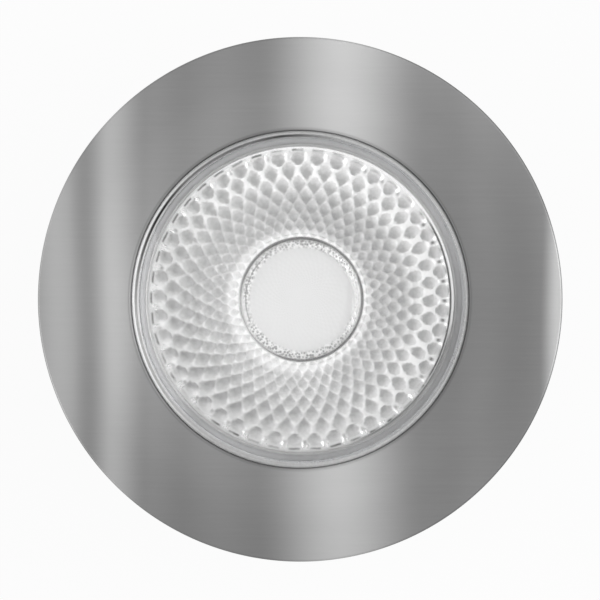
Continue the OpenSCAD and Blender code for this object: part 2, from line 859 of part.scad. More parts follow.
module rear_cover() {
    spigot_r = driver_bore_r - fit;
    color("#85898c") difference() {
        union() {
            bar(pot_r, cover_bottom, pot_bottom);
            ring(spigot_r, spigot_r - spigot_wall, cover_bottom, pot_bottom + spigot_h);
        }
        ring(spigot_r + through, driver_bore_r - seal_d, seal_groove_bottom, seal_groove_top);
        bar(gland_shank_d / 2 + fit, cover_bottom - through, pot_bottom + through);
        around(cover_screw_count, cover_screw_pcr, screw_turn)
            bar(cover_screw_d / 2 + fit, cover_bottom - through, pot_bottom + through);
    }
}

module rear_cover_seal() {
    color("#3c2f2c") translate([0, 0, (seal_groove_bottom + seal_groove_top) / 2])
        rotate_extrude() translate([driver_bore_r - seal_d / 2, 0]) circle(r = seal_d / 2 - fit);
}

module rear_cover_screws() {
    color("#cfd1d3") around(cover_screw_count, cover_screw_pcr, screw_turn)
        translate([0, 0, cover_bottom]) rotate([180, 0, 0])
            pan_screw(cover_screw_d / 2, cover_screw_len);
}

gland_seal_step = 1;       // the seal stands in from the holes above and below it
gland_seal_wall = 1.6;     // from those holes to the outside of the seal
gland_neck_wall = 1.4;
gland_nut_gap = 1;         // left between the nut and the hexagon
gland_nut_cone_h = 4;
gland_nut_lip = 2;         // below the seal's shoulder
gland_seal_nose = 1.5;     // length of the nose that stands in the gland body's bore
locknut_spare = 0.4;       // shank that shows past the locknut
gland_bore_r = cable_hole_d / 2 + gland_seal_step;
gland_seal_r = gland_bore_r + gland_seal_wall;
gland_neck_r = gland_seal_r + gland_neck_wall;
gland_shank_top = pot_bottom + locknut_t + locknut_spare;
gland_nut_top = gland_hex_bottom - gland_nut_gap;
gland_nut_bottom = gland_nut_top - gland_nut_h;
gland_seal_bottom = gland_nut_bottom + gland_nut_lip;

module gland_washer() {
    color("#2c2c2c") ring(gland_flats / 2, gland_shank_d / 2 + fit, gland_top, cover_bottom);
}

module gland_body() {
    color("#4a4d50") difference() {
        union() {
            hex_bar(gland_flats, gland_hex_bottom, gland_top);
            bar(gland_shank_d / 2, gland_hex_bottom, gland_shank_top);
            bar(gland_neck_r, gland_neck_bottom, gland_top);
        }
        bar(gland_bore_r, gland_neck_bottom - through, gland_shank_top + through);
        bar(gland_seal_r + fit, gland_neck_bottom - through, gland_hex_bottom);
    }
}

module gland_locknut() {
    color("#4a4d50") difference() {
        hex_bar(gland_flats, pot_bottom, pot_bottom + locknut_t);
        bar(gland_shank_d / 2 + fit, pot_bottom - through, pot_bottom + locknut_t + through);
    }
}

// The seal has a nose at each end, in the nut's mouth and in the body's bore
module gland_seal() {
    nose_top = gland_hex_bottom + gland_seal_nose;
    color("#1c1c1c") difference() {
        union() {
            bar(gland_seal_r, gland_seal_bottom, gland_hex_bottom);
            bar(gland_bore_r - fit, gland_nut_bottom, nose_top);
        }
        bar(cable_hole_d / 2, gland_nut_bottom - through, nose_top + through);
    }
}

module gland_nut() {
    color("#4a4d50") difference() {
        union() {
            hex_bar(gland_flats, gland_nut_bottom + gland_nut_cone_h, gland_nut_top);
            translate([0, 0, gland_nut_bottom])
                cylinder(r1 = gland_neck_r, r2 = gland_flats / 2, h = gland_nut_cone_h);
        }
        bar(gland_bore_r, gland_nut_bottom - through, gland_seal_bottom + through);
        bar(gland_seal_r + fit, gland_seal_bottom, gland_nut_top + through);
        bar(gland_neck_r + fit, gland_neck_bottom - slide_gap, gland_nut_top + through);
    }
}

// The leaf of side spring i. Its ramp grips the sleeve and its tip points back in
module side_spring(i) {
    path = [
        [spring_hinge_x, spring_bend_z],
        [spring_peak_x, spring_peak_z],
        [spring_peak_x - spring_tip_in, spring_tip_z]
    ];
    color("#c4c6c8") rotate([0, 0, spring_turn + (i - 1) * 360 / spring_count])
        bent_strip(path, spring_t, spring_w);
}

// The springs' flat feet, which end a little below the bends
module spring_feet() {
    foot_top = spring_bend_z - spring_t / 2 - fit;
    path = [[spring_foot_x, spring_bend_z - spring_foot], [spring_foot_x, foot_top]];
    color("#c4c6c8") around(spring_count, 0, spring_turn) difference() {
        bent_strip(path, spring_t, spring_w);
        translate([spring_flat - through, 0, spring_screw_z]) rotate([0, 90, 0])
            cylinder(d = spring_screw_d + 2 * fit, h = spring_t + 2 * through);
    }
}

module spring_screws() {
    color("#cfd1d3") around(spring_count, 0, spring_turn)
        translate([spring_flat + spring_t, 0, spring_screw_z]) rotate([0, 90, 0])
            pan_screw(spring_screw_d / 2, spring_screw_len + spring_t);
}

mounting_sleeve();
faceplate();
faceplate_clips();
housing();
cover_glass();
glass_gasket();
clamp_ring();
clamp_ring_screws();
lens_bezel();
lens();
source_holder();
source_board();
source_phosphor();
thermal_pad();
holder_screws();
heat_spreader();
spreader_screws();
source_leads();
driver_board();
board_standoffs();
board_screws();
driver_inductor();
driver_capacitor();
driver_rectifier();
driver_chip();
input_terminal();
rear_cover();
rear_cover_seal();
rear_cover_screws();
gland_washer();
gland_body();
gland_locknut();
gland_seal();
gland_nut();
side_spring(1);  // side_spring_1
side_spring(2);  // side_spring_2
side_spring(3);  // side_spring_3
spring_feet();
spring_screws();
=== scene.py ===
import json
import math

import bpy
from bpy.props import FloatProperty, FloatVectorProperty, IntProperty, PointerProperty
from mathutils import Matrix, Vector

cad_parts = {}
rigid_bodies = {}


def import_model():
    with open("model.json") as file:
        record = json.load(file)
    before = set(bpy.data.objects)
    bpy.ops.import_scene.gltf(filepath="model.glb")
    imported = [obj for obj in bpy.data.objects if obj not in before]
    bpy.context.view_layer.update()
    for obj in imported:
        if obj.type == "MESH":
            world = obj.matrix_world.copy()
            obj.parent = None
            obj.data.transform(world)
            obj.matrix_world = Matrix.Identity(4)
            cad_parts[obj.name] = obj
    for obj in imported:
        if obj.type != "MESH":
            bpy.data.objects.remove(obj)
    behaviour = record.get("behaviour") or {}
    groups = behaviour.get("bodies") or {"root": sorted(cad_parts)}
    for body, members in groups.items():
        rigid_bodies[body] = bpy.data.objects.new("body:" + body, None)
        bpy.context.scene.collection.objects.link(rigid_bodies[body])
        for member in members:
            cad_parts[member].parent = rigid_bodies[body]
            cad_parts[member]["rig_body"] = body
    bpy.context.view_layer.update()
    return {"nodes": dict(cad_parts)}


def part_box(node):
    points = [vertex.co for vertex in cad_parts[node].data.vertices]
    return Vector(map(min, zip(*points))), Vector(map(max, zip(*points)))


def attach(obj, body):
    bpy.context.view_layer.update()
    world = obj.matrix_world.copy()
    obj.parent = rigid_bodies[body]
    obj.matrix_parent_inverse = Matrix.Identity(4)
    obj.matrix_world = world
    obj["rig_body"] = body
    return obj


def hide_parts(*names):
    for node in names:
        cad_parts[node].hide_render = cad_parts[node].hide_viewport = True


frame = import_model()

bl_info = {
    "name": "In-ground light",
    "version": (1, 0, 0),
    "blender": (4, 5, 0),
    "location": "3D Viewport > Sidebar > Ground Light",
    "description": "Finishes, glass, lens and studio for a round in-ground light",
    "category": "Object",
}

MM = 0.001
TURN = 2 * math.pi
TINY = 1e-7

PLATE_LOW, PLATE_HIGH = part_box("faceplate")
GLASS_LOW, GLASS_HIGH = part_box("cover_glass")
BEZEL_LOW, BEZEL_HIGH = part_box("lens_bezel")
LENS_LOW, LENS_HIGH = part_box("lens")
SLEEVE_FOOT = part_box("mounting_sleeve")[0].z
LENS_FACE = BEZEL_HIGH.z - 1 * MM

# Settings that a user would change


def length(name, description, default, low, high):
    """A length property, given in millimetres."""
    return FloatProperty(
        name=name, description=description, default=default * MM, min=low * MM, max=high * MM,
        subtype="DISTANCE", unit="LENGTH")


def tint(name, description, default):
    """A colour property."""
    return FloatVectorProperty(
        name=name, description=description, default=default, min=0, max=1, size=3,
        subtype="COLOR")


class FaceplateSettings(bpy.types.PropertyGroup):
    """The brushed plate that is seen from above."""

    opening: length("Opening radius", "Radius of the hole for the glass", 27.7, 20, 40)
    rim: length("Rim radius", "Inner radius of the rim that stands on the ground", 40.3, 30, 50)
    recess: length("Recess", "Depth of the recess under the plate", 1, 0, 2)
    notch_width: length("Prising notch width", "Width of the notch for a screwdriver", 9, 4, 20)
    notch_height: length(
        "Prising notch height", "Height of the notch for a screwdriver", 0.9, 0.2, 1.5)
    edge: length("Edge rounding", "Radius of the plate's upper edges", 0.35, 0.05, 1)
    colour: tint(
        "Steel", "Colour of the brushed steel between its bright bands", (0.193, 0.193, 0.193))
    # strength of the painted reflections, the bands painted into the steel's colour
    bands: FloatProperty(
        name="Bands", description="Strength of the soft bright bands across the plate",
        default=1, min=0, max=2, subtype="FACTOR")


class GlassSettings(bpy.types.PropertyGroup):
    """The cover glass in the plate's opening."""

    step: length("Step width", "How far the lower disc stands out of the upper one", 2.25, 1, 4)
    step_top: length("Step height", "Height of the lower disc's upper face", -1.1, -4, 0)
    bevel: length("Bevel", "Width of the ground bevel on the upper edge", 0.65, 0.1, 1.5)
    colour: tint("Glass", "Colour of the glass", (0.988, 0.988, 0.988))


class LensSettings(bpy.types.PropertyGroup):
    """The faceted lens behind the glass."""

    facets: IntProperty(
        name="Facets in a row", description="Number of facets round the lens in each row",
        default=45, min=12, max=90)
    rows: IntProperty(
        name="Rows", description="Number of rows of facets", default=8, min=2, max=12)
    edge: length("Facet edge radius", "Radius at which the outermost facets end", 24.96, 10, 30)
    ratio: FloatProperty(
        name="Row ratio", description="Logarithm of one row's radius over the next row's",
        default=0.109, min=0.02, max=0.3)
    turn: FloatProperty(
        name="Turn", description="Place of the first facet, in facets",
        default=0.42, min=0, max=1)
    dome: length("Dome height", "Height of a facet's crown", 0.3, 0, 0.55)
    well: length("Well radius", "Radius of the plain well in the middle", 10.05, 4, 15)
    well_depth: length("Well depth", "Depth of the plain well", 2.4, 1, 8)
    # painted reflections: the tones of the facets' bright edges and grey insides
    light_tone: tint("Edges", "Tone of the bright edges between the facets", (0.88, 0.88, 0.88))
    dark_tone: tint("Facets", "Tone inside the facets", (0.35, 0.35, 0.35))


class BezelSettings(bpy.types.PropertyGroup):
    """The satin ring that holds the lens."""

    lip: length("Lip radius", "Inner radius of the lip over the lens", 25.0, 20, 26)
    bore: length("Bore radius", "Radius of the seat for the lens", 25.05, 20, 26)
    colour: tint("Satin metal", "Colour of the bezel", (0.421, 0.421, 0.421))


class FinishSettings(bpy.types.PropertyGroup):
    """Colours of the pieces under the plate."""

    sleeve: tint("Sleeve", "Colour of the moulded sleeve", (0.05, 0.052, 0.055))
    aluminium: tint("Aluminium", "Colour of the cast and turned aluminium", (0.46, 0.465, 0.475))
    spring: tint("Spring steel", "Colour of the clips and side springs", (0.46, 0.46, 0.465))
    screw: tint("Screws", "Colour of the stainless screws", (0.52, 0.52, 0.525))
    nylon: tint("Gland", "Colour of the cable gland", (0.1, 0.1, 0.105))
    rubber: tint("Seals", "Colour of the black seals", (0.03, 0.03, 0.03))
    silicone: tint("Gasket", "Colour of the glass gasket", (0.6, 0.61, 0.6))
    board: tint("Circuit board", "Colour of the solder mask", (0.04, 0.2, 0.09))


class StageSettings(bpy.types.PropertyGroup):
    """Camera, floor and lamps."""

    distance: length("Camera distance", "Distance from the camera to the plate", 1200, 300, 5000)
    frame_width: length("Frame width", "Width of the picture at the plate", 98.28, 50, 500)
    lean: FloatVectorProperty(
        name="Camera lean", description="How far the camera stands beside the plate's middle",
        default=(0.023, -0.002), size=2, subtype="XYZ", unit="LENGTH")
    aim: FloatVectorProperty(
        name="Aim", description="Point of the plate in the middle of the picture",
        default=(0, -0.115 * MM), size=2, subtype="XYZ", unit="LENGTH")
    floor_colour: tint("Floor", "Colour of the floor", (0.86, 0.86, 0.86))
    ambient: FloatProperty(
        name="Ambient light", description="Strength of the even light from all round",
        default=0.5, min=0, max=2)
    key: FloatProperty(
        name="Key lamp", description="Power of the large lamp", default=5, min=0, max=100,
        unit="POWER")
    fill: FloatProperty(
        name="Fill lamp", description="Power of the smaller lamp", default=1.5, min=0, max=100,
        unit="POWER")


class GroundLightSettings(bpy.types.PropertyGroup):
    """All the settings of the in-ground light."""

    faceplate: PointerProperty(type=FaceplateSettings, name="Faceplate", description="Faceplate")
    glass: PointerProperty(type=GlassSettings, name="Glass", description="Cover glass")
    lens: PointerProperty(type=LensSettings, name="Lens", description="Faceted lens")
    bezel: PointerProperty(type=BezelSettings, name="Bezel", description="Lens bezel")
    finish: PointerProperty(type=FinishSettings, name="Finishes", description="Other finishes")
    stage: PointerProperty(type=StageSettings, name="Stage", description="Camera and lamps")


# Shader trees

# The Mix node's colour sockets, which share their names with its number sockets
MIX_A, MIX_B, MIX_RESULT = 6, 7, 2


class Wire:
    """An output in a shader tree. Expressions on wires and numbers add their Math nodes."""

    def __init__(self, tree, socket):
        self.tree = tree
        self.socket = socket

    def maths(self, operation, *values):
        return self.tree.node("ShaderNodeMath", {"operation": operation}, dict(enumerate(values)))

    def __add__(self, other):
        return self.maths("ADD", self, other)

    def __radd__(self, other):
        return self.maths("ADD", other, self)

    def __sub__(self, other):
        return self.maths("SUBTRACT", self, other)

    def __rsub__(self, other):
        return self.maths("SUBTRACT", other, self)

    def __mul__(self, other):
        return self.maths("MULTIPLY", self, other)

    def __rmul__(self, other):
        return self.maths("MULTIPLY", other, self)

    def __truediv__(self, other):
        return self.maths("DIVIDE", self, other)

    def __rtruediv__(self, other):
        return self.maths("DIVIDE", other, self)

    def __pow__(self, other):
        return self.maths("POWER", self, other)

    def __neg__(self):
        return self.maths("MULTIPLY", self, -1)

    def __abs__(self):
        return self.maths("ABSOLUTE", self)

    def fraction(self):
        return self.maths("FRACT", self)

    def sine(self):
        return self.maths("SINE", self)

    def logarithm(self):
        return self.maths("LOGARITHM", self, math.e)

    def least(self, other):
        return self.maths("MINIMUM", self, other)

    def most(self, other):
        return self.maths("MAXIMUM", self, other)

    def rise(self, low, high):
        """0 below low and 1 above high, with a soft step between them; low may be the larger."""
        return self.tree.node(
            "ShaderNodeMapRange", {"interpolation_type": "SMOOTHSTEP"},
            {"Value": self, "From Min": low, "From Max": high, "To Min": 0, "To Max": 1})

    def bump_at(self, middle, width):
        """1 at middle, falling softly to 0 at width either side."""
        return abs(self - middle).rise(width, 0)


class ShaderTree:
    """The nodes of a material or a world, and the way to add to them."""

    def __init__(self, owner, output):
        owner.use_nodes = True
        self.nodes, self.links = owner.node_tree.nodes, owner.node_tree.links
        self.nodes.clear()
        self.output = self.nodes.new(output)

    def node(self, kind, settings=None, sockets=None, output=0):
        """Adds a node: its settings first, then the value or link of each named socket."""
        made = self.nodes.new(kind)
        for name, value in (settings or {}).items():
            setattr(made, name, value)
        for name, value in (sockets or {}).items():
            self.join(made.inputs[name], value)
        return Wire(self, made.outputs[output])

    def join(self, socket, value):
        """Links a wire to a socket, or sets the socket's own value."""
        if isinstance(value, Wire):
            self.links.new(value.socket, socket)
        elif socket.type == "RGBA" and len(value) == 3:
            socket.default_value = (*value, 1)
        else:
            socket.default_value = value

    def close(self, shader):
        """Ends the tree with a shader."""
        self.join(self.output.inputs["Surface"], shader)

    def seen_white(self):
        """1 for rays from the camera, or from metal and glass, and 0 for the others."""
        camera, glossy, passing = (
            self.node("ShaderNodeLightPath", output="Is %s Ray" % kind)
            for kind in ("Camera", "Glossy", "Transmission"))
        return camera.most(glossy).most(passing)


class Finish(ShaderTree):
    """One finish: a material with its shader tree. Places in it are in millimetres."""

    def __init__(self, name):
        self.material = bpy.data.materials.new(name)
        super().__init__(self.material, "ShaderNodeOutputMaterial")
        point = self.node("ShaderNodeTexCoord", output="Object")
        self.place = self.node(
            "ShaderNodeVectorMath", {"operation": "SCALE"}, {0: point, "Scale": 1 / MM})
        parts = self.node("ShaderNodeSeparateXYZ", None, {0: self.place})
        self.x, self.y, self.z = (Wire(self, out) for out in parts.socket.node.outputs)
        self.radius = (self.x * self.x + self.y * self.y) ** 0.5

    def stretched(self, x, y, z):
        """The place with each direction scaled, for grain that runs one way."""
        return self.node(
            "ShaderNodeVectorMath", {"operation": "MULTIPLY"}, {0: self.place, 1: (x, y, z)})

    def noise(self, scale, detail=2, roughness=0.5, where=None, warp=0):
        """Cloudy noise between 0 and 1; scale is in cycles per millimetre."""
        return self.node(
            "ShaderNodeTexNoise", None,
            {"Vector": where or self.place, "Scale": scale, "Detail": detail,
             "Roughness": roughness, "Distortion": warp})

    def rings(self, scale, detail, roughness=0.5):
        """Noise that runs round the light's axis, as turning marks do."""
        around = self.node(
            "ShaderNodeCombineXYZ", None, {0: self.radius * scale, 1: self.z * scale, 2: 0})
        return self.noise(1, detail, roughness, around)

    def cells(self, scale, feature="F1"):
        """Distances in a pattern of irregular cells; scale is in cells per millimetre."""
        return self.node(
            "ShaderNodeTexVoronoi", {"feature": feature},
            {"Vector": self.place, "Scale": scale}, "Distance")

    def blend(self, factor, a, b, how="MIX"):
        """Mixes two colours."""
        return self.node(
            "ShaderNodeMix", {"data_type": "RGBA", "blend_type": how, "clamp_factor": True},
            {0: factor, MIX_A: a, MIX_B: b}, MIX_RESULT)

    def grey(self, value):
        """A number as a grey colour."""
        return self.node("ShaderNodeCombineColor", None, {0: value, 1: value, 2: value})

    def tinted(self, colour, value):
        """A colour made lighter or darker by a number round 1."""
        return self.blend(1, colour, self.grey(value), "MULTIPLY")

    def relief(self, height, depth, under=None):
        """Bump of that depth in millimetres from a height between 0 and 1."""
        sockets = {"Height": height, "Distance": depth * MM, "Strength": 1}
        if under:
            sockets["Normal"] = under
        return self.node("ShaderNodeBump", None, sockets)

    def soft_edges(self, radius):
        """Normals that round the sharp edges of a piece; radius in millimetres."""
        return self.node("ShaderNodeBevel", {"samples": 4}, {"Radius": radius * MM})

    def surface(self, **sockets):
        """Closes the tree with a shader, by the names of its sockets with _ for spaces."""
        self.close(self.node(
            "ShaderNodeBsdfPrincipled", None,
            {name.replace("_", " "): value for name, value in sockets.items()}))
        return self.material


# Meshes


def rounded(outline, radii, steps=3):
    """A closed outline with each corner rounded by its own radius."""
    longest_cut = 0.45
    made = []
    for i, (point, radius) in enumerate(zip(outline, radii)):
        here = Vector(point)
        before = Vector(outline[i - 1]) - here
        after = Vector(outline[(i + 1) % len(outline)]) - here
        if radius <= 0 or here.x == 0:
            made.append(tuple(here))
            continue
        cut = min(radius / math.tan(before.angle(after) / 2),
                  before.length * longest_cut, after.length * longest_cut)
        start, end = here + before.normalized() * cut, here + after.normalized() * cut
        for s in range(steps + 1):
            t = s / steps
            made.append(tuple(start * (1 - t) ** 2 + here * 2 * t * (1 - t) + end * t * t))
    return made


def piece(name, vertices, faces, sharp=30):
    """A mesh object in the row frame with smooth faces and sharp edges past that angle."""
    mesh = bpy.data.meshes.new(name)
    mesh.from_pydata(vertices, [], faces)
    mesh.validate()
    mesh.shade_smooth()
    mesh.set_sharp_from_angle(angle=math.radians(sharp))
    made = bpy.data.objects.new(name, mesh)
    bpy.context.scene.collection.objects.link(made)
    return made


def lathe(name, outline, steps=360, shape=None, sharp=30):
    """Turns a closed outline of radius and height about Z. Outline points run anticlockwise.
    shape may move a vertex, given its angle, radius and height."""
    vertices, rings = [], []
    for radius, height in outline:
        if radius < TINY:
            rings.append([len(vertices)] * steps)
            vertices.append((0, 0, height))
            continue
        rings.append(range(len(vertices), len(vertices) + steps))
        for i in range(steps):
            angle = TURN * i / steps
            r, z = shape(angle, radius, height) if shape else (radius, height)
            vertices.append((r * math.cos(angle), r * math.sin(angle), z))
    faces = []
    for a, b in zip(rings, rings[1:] + rings[:1]):
        for i in range(steps):
            n = (i + 1) % steps
            corners = list(dict.fromkeys((a[i], a[n], b[n], b[i])))
            if len(corners) > 2:
                faces.append(corners)
    return piece(name, vertices, faces, sharp)


def dressed(made, node, finish):
    """Puts a new piece in the place of a CAD node, on that node's body."""
    made.data.materials.append(finish)
    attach(made, frame["nodes"][node]["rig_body"])
    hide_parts(node)


def paint(finish, slot, *nodes):
    """Gives CAD nodes a finish in place of the plain one."""
    for node in nodes:
        cad = frame["nodes"][node]
        for holder in cad.material_slots:
            holder.material = finish
        if not cad.material_slots:
            cad.data.materials.append(finish)


# Finishes of the face

# The plate's painted reflections, soft light and dark bands in its colour: place and half width in
# millimetres, and strength
PLATE_PAINTED_REFLECTIONS = (
    (-40, 8, 1.1),
    (-34.6, 3.4, -0.35),
    (-31, 6, 1.08),
    (-24.5, 6, 0.2),
    (-15, 8, 0.06),
    (-13, 6, 0.06),
    (6.9, 14, 1.36),
    (25, 6, -0.07),
    (37, 10, -0.2),
    (42.3, 3, 0.95),
)


def brushed_plate(plate):
    """Steel brushed from side to side, with painted reflections: the soft bands that a plate
    mirrors, painted into its colour.
    """
    finish = Finish("brushed_plate")
    x, y, radius = finish.x, finish.y, finish.radius
    across = x + finish.noise(0.02, 1) * 3 - 1.5
    # painted reflections: the bands lighten and darken the steel's colour
    bands = sum(across.bump_at(at, width) * strength for at, width, strength in PLATE_PAINTED_REFLECTIONS)
    bands = bands * plate.bands
    fine = finish.noise(1, 4, 0.6, finish.stretched(0.25, 14, 1))
    coarse = finish.noise(1, 2, 0.5, finish.stretched(0.06, 2.2, 1))
    # painted sheen: the steel is a little lighter towards the back
    painted_sheen_back = 1 + y * 0.0018
    tone = (1 + bands) * painted_sheen_back + (fine - 0.5) * 0.12 + (coarse - 0.5) * 0.1
    # painted shade: the plate is darker next to the opening, most of all on the left, and a little
    # towards the rim
    painted_shade_at_hole = (radius - plate.opening / MM).bump_at(0.25, 0.45)
    tone = tone * (1 - radius.rise(32, 38) * 0.06)
    tone = tone * (1 - painted_shade_at_hole * (0.2 - (x * 0.005).least(0)))
    return finish.surface(
        Base_Color=finish.tinted(plate.colour, tone),
        Metallic=1.0,
        Roughness=0.3 + fine * 0.12 - bands * 0.02,
        Normal=finish.relief(fine + coarse * 0.5, 0.0015, finish.soft_edges(0.15)),
    )


def clear_glass(glass):
    """Polished glass with a ground bevel, letting the lamps' light through to what is under it."""
    finish = Finish("clear_glass")
    x, y, z = finish.x, finish.y, finish.z
    polished = finish.node(
        "ShaderNodeBsdfPrincipled", None,
        {"Base Color": glass.colour, "Transmission Weight": 1, "IOR": 1.45,
         "Roughness": 0.004 + finish.noise(0.12, 3) * 0.012})
    # how far a point lies out from the bevel's inner edge
    out = finish.radius - (GLASS_HIGH.x - glass.step - glass.bevel) / MM
    ground = (out - x * 0.012).rise(-0.17, -0.09) * z.rise(1.7, 1.9)
    # painted light and shade: the bevel is pale, with two painted white highlight lines on the
    # left, and darker at its outer edge and at the front left
    left = (-x / finish.radius).rise(0.45, 1)
    painted_mirror_line = left * out.rise(0.15, 0.3)
    grit = finish.noise(2.5, 3, 0.6)
    pale = 0.58 + (grit - 0.5) * 0.3 + out.rise(0, 0.25) * 0.08
    pale = pale + painted_mirror_line * 0.5 + left * out.rise(-0.15, -0.3) * 0.45
    pale = pale * (1 - out.rise(0.25, 0.55) * (0.25 + (x + y) * 0.004))
    pale = pale * (1 - (-x - y).rise(20, 38) * 0.14)
    # painted shadow: a dark line, uneven along its length, lies inside the bevel at the back left
    broken = finish.noise(0.07, 1).rise(0.38, 0.52) * 0.3 + 0.7
    line = (out.bump_at(-0.07, 0.38) * 1.3).least(1) * (y * 0.8 - x * 0.6).rise(12, 25) * broken
    frosted = finish.node(
        "ShaderNodeBsdfPrincipled", None,
        {"Base Color": finish.grey(pale.least(0.98) * (1 - line * 0.98)), "Roughness": 0.55,
         "IOR": 1.45, "Specular IOR Level": 0.2, "Metallic": painted_mirror_line})
    body = finish.node(
        "ShaderNodeMixShader", None, {0: (ground * 0.85).most(line), 1: polished, 2: frosted})
    passing = finish.node("ShaderNodeBsdfTransparent", None, {"Color": (0.966, 0.966, 0.966)})
    shadow = finish.node("ShaderNodeLightPath", output="Is Shadow Ray")
    finish.close(finish.node("ShaderNodeMixShader", None, {0: shadow, 1: body, 2: passing}))
    return finish.material


def satin_bezel(bezel):
    """Satin turned metal with fine rings, and painted light and shade: lighter on the left, with
    painted highlights at the lip and the back right.
    """
    finish = Finish("satin_bezel")
    x, y, radius = finish.x, finish.y, finish.radius
    rings = finish.rings(9, 2)
    mottle = finish.noise(0.35, 3)
    # how far a point lies out from the lip's inner edge
    out = radius - bezel.lip / MM
    # painted light and shade: lighter on the left, a painted highlight ring at the lip's edge and
    # a lighter band further out
    tone = (1 - x * 0.004) * (0.92 + rings * 0.14 + (mottle - 0.5) * 0.1)
    tone = tone + out.bump_at(0.15, 0.2) * (0.7 - (x * 0.02).most(0))
    tone = tone * (1 + out.bump_at(1.2, 0.8) * (0.35 - x * 0.008))
    # painted light: the flat outside the lip is lighter at the right, the back and the front
    ends = abs(y / radius).rise(0.6, 1) * 0.3 + ((x - y) * 0.7 / radius).rise(0.6, 1) * 0.12
    tone = tone * (1 + out.rise(0.3, 0.8) * (0.16 + x * 0.0085 + y * 0.0046 + ends))
    # painted shade at the far right and a painted highlight at the back right
    painted_shade_far_right = (x / radius).rise(0.8, 1) * 0.2
    painted_glint = ((x + y) * 0.7 / radius).rise(0.6, 1) * 0.25
    return finish.surface(
        Base_Color=finish.tinted(bezel.colour, tone * (1 + painted_glint - painted_shade_far_right)),
        Metallic=1.0,
        Roughness=0.32 + mottle * 0.12,
        Normal=finish.relief(rings, 0.008),
    )


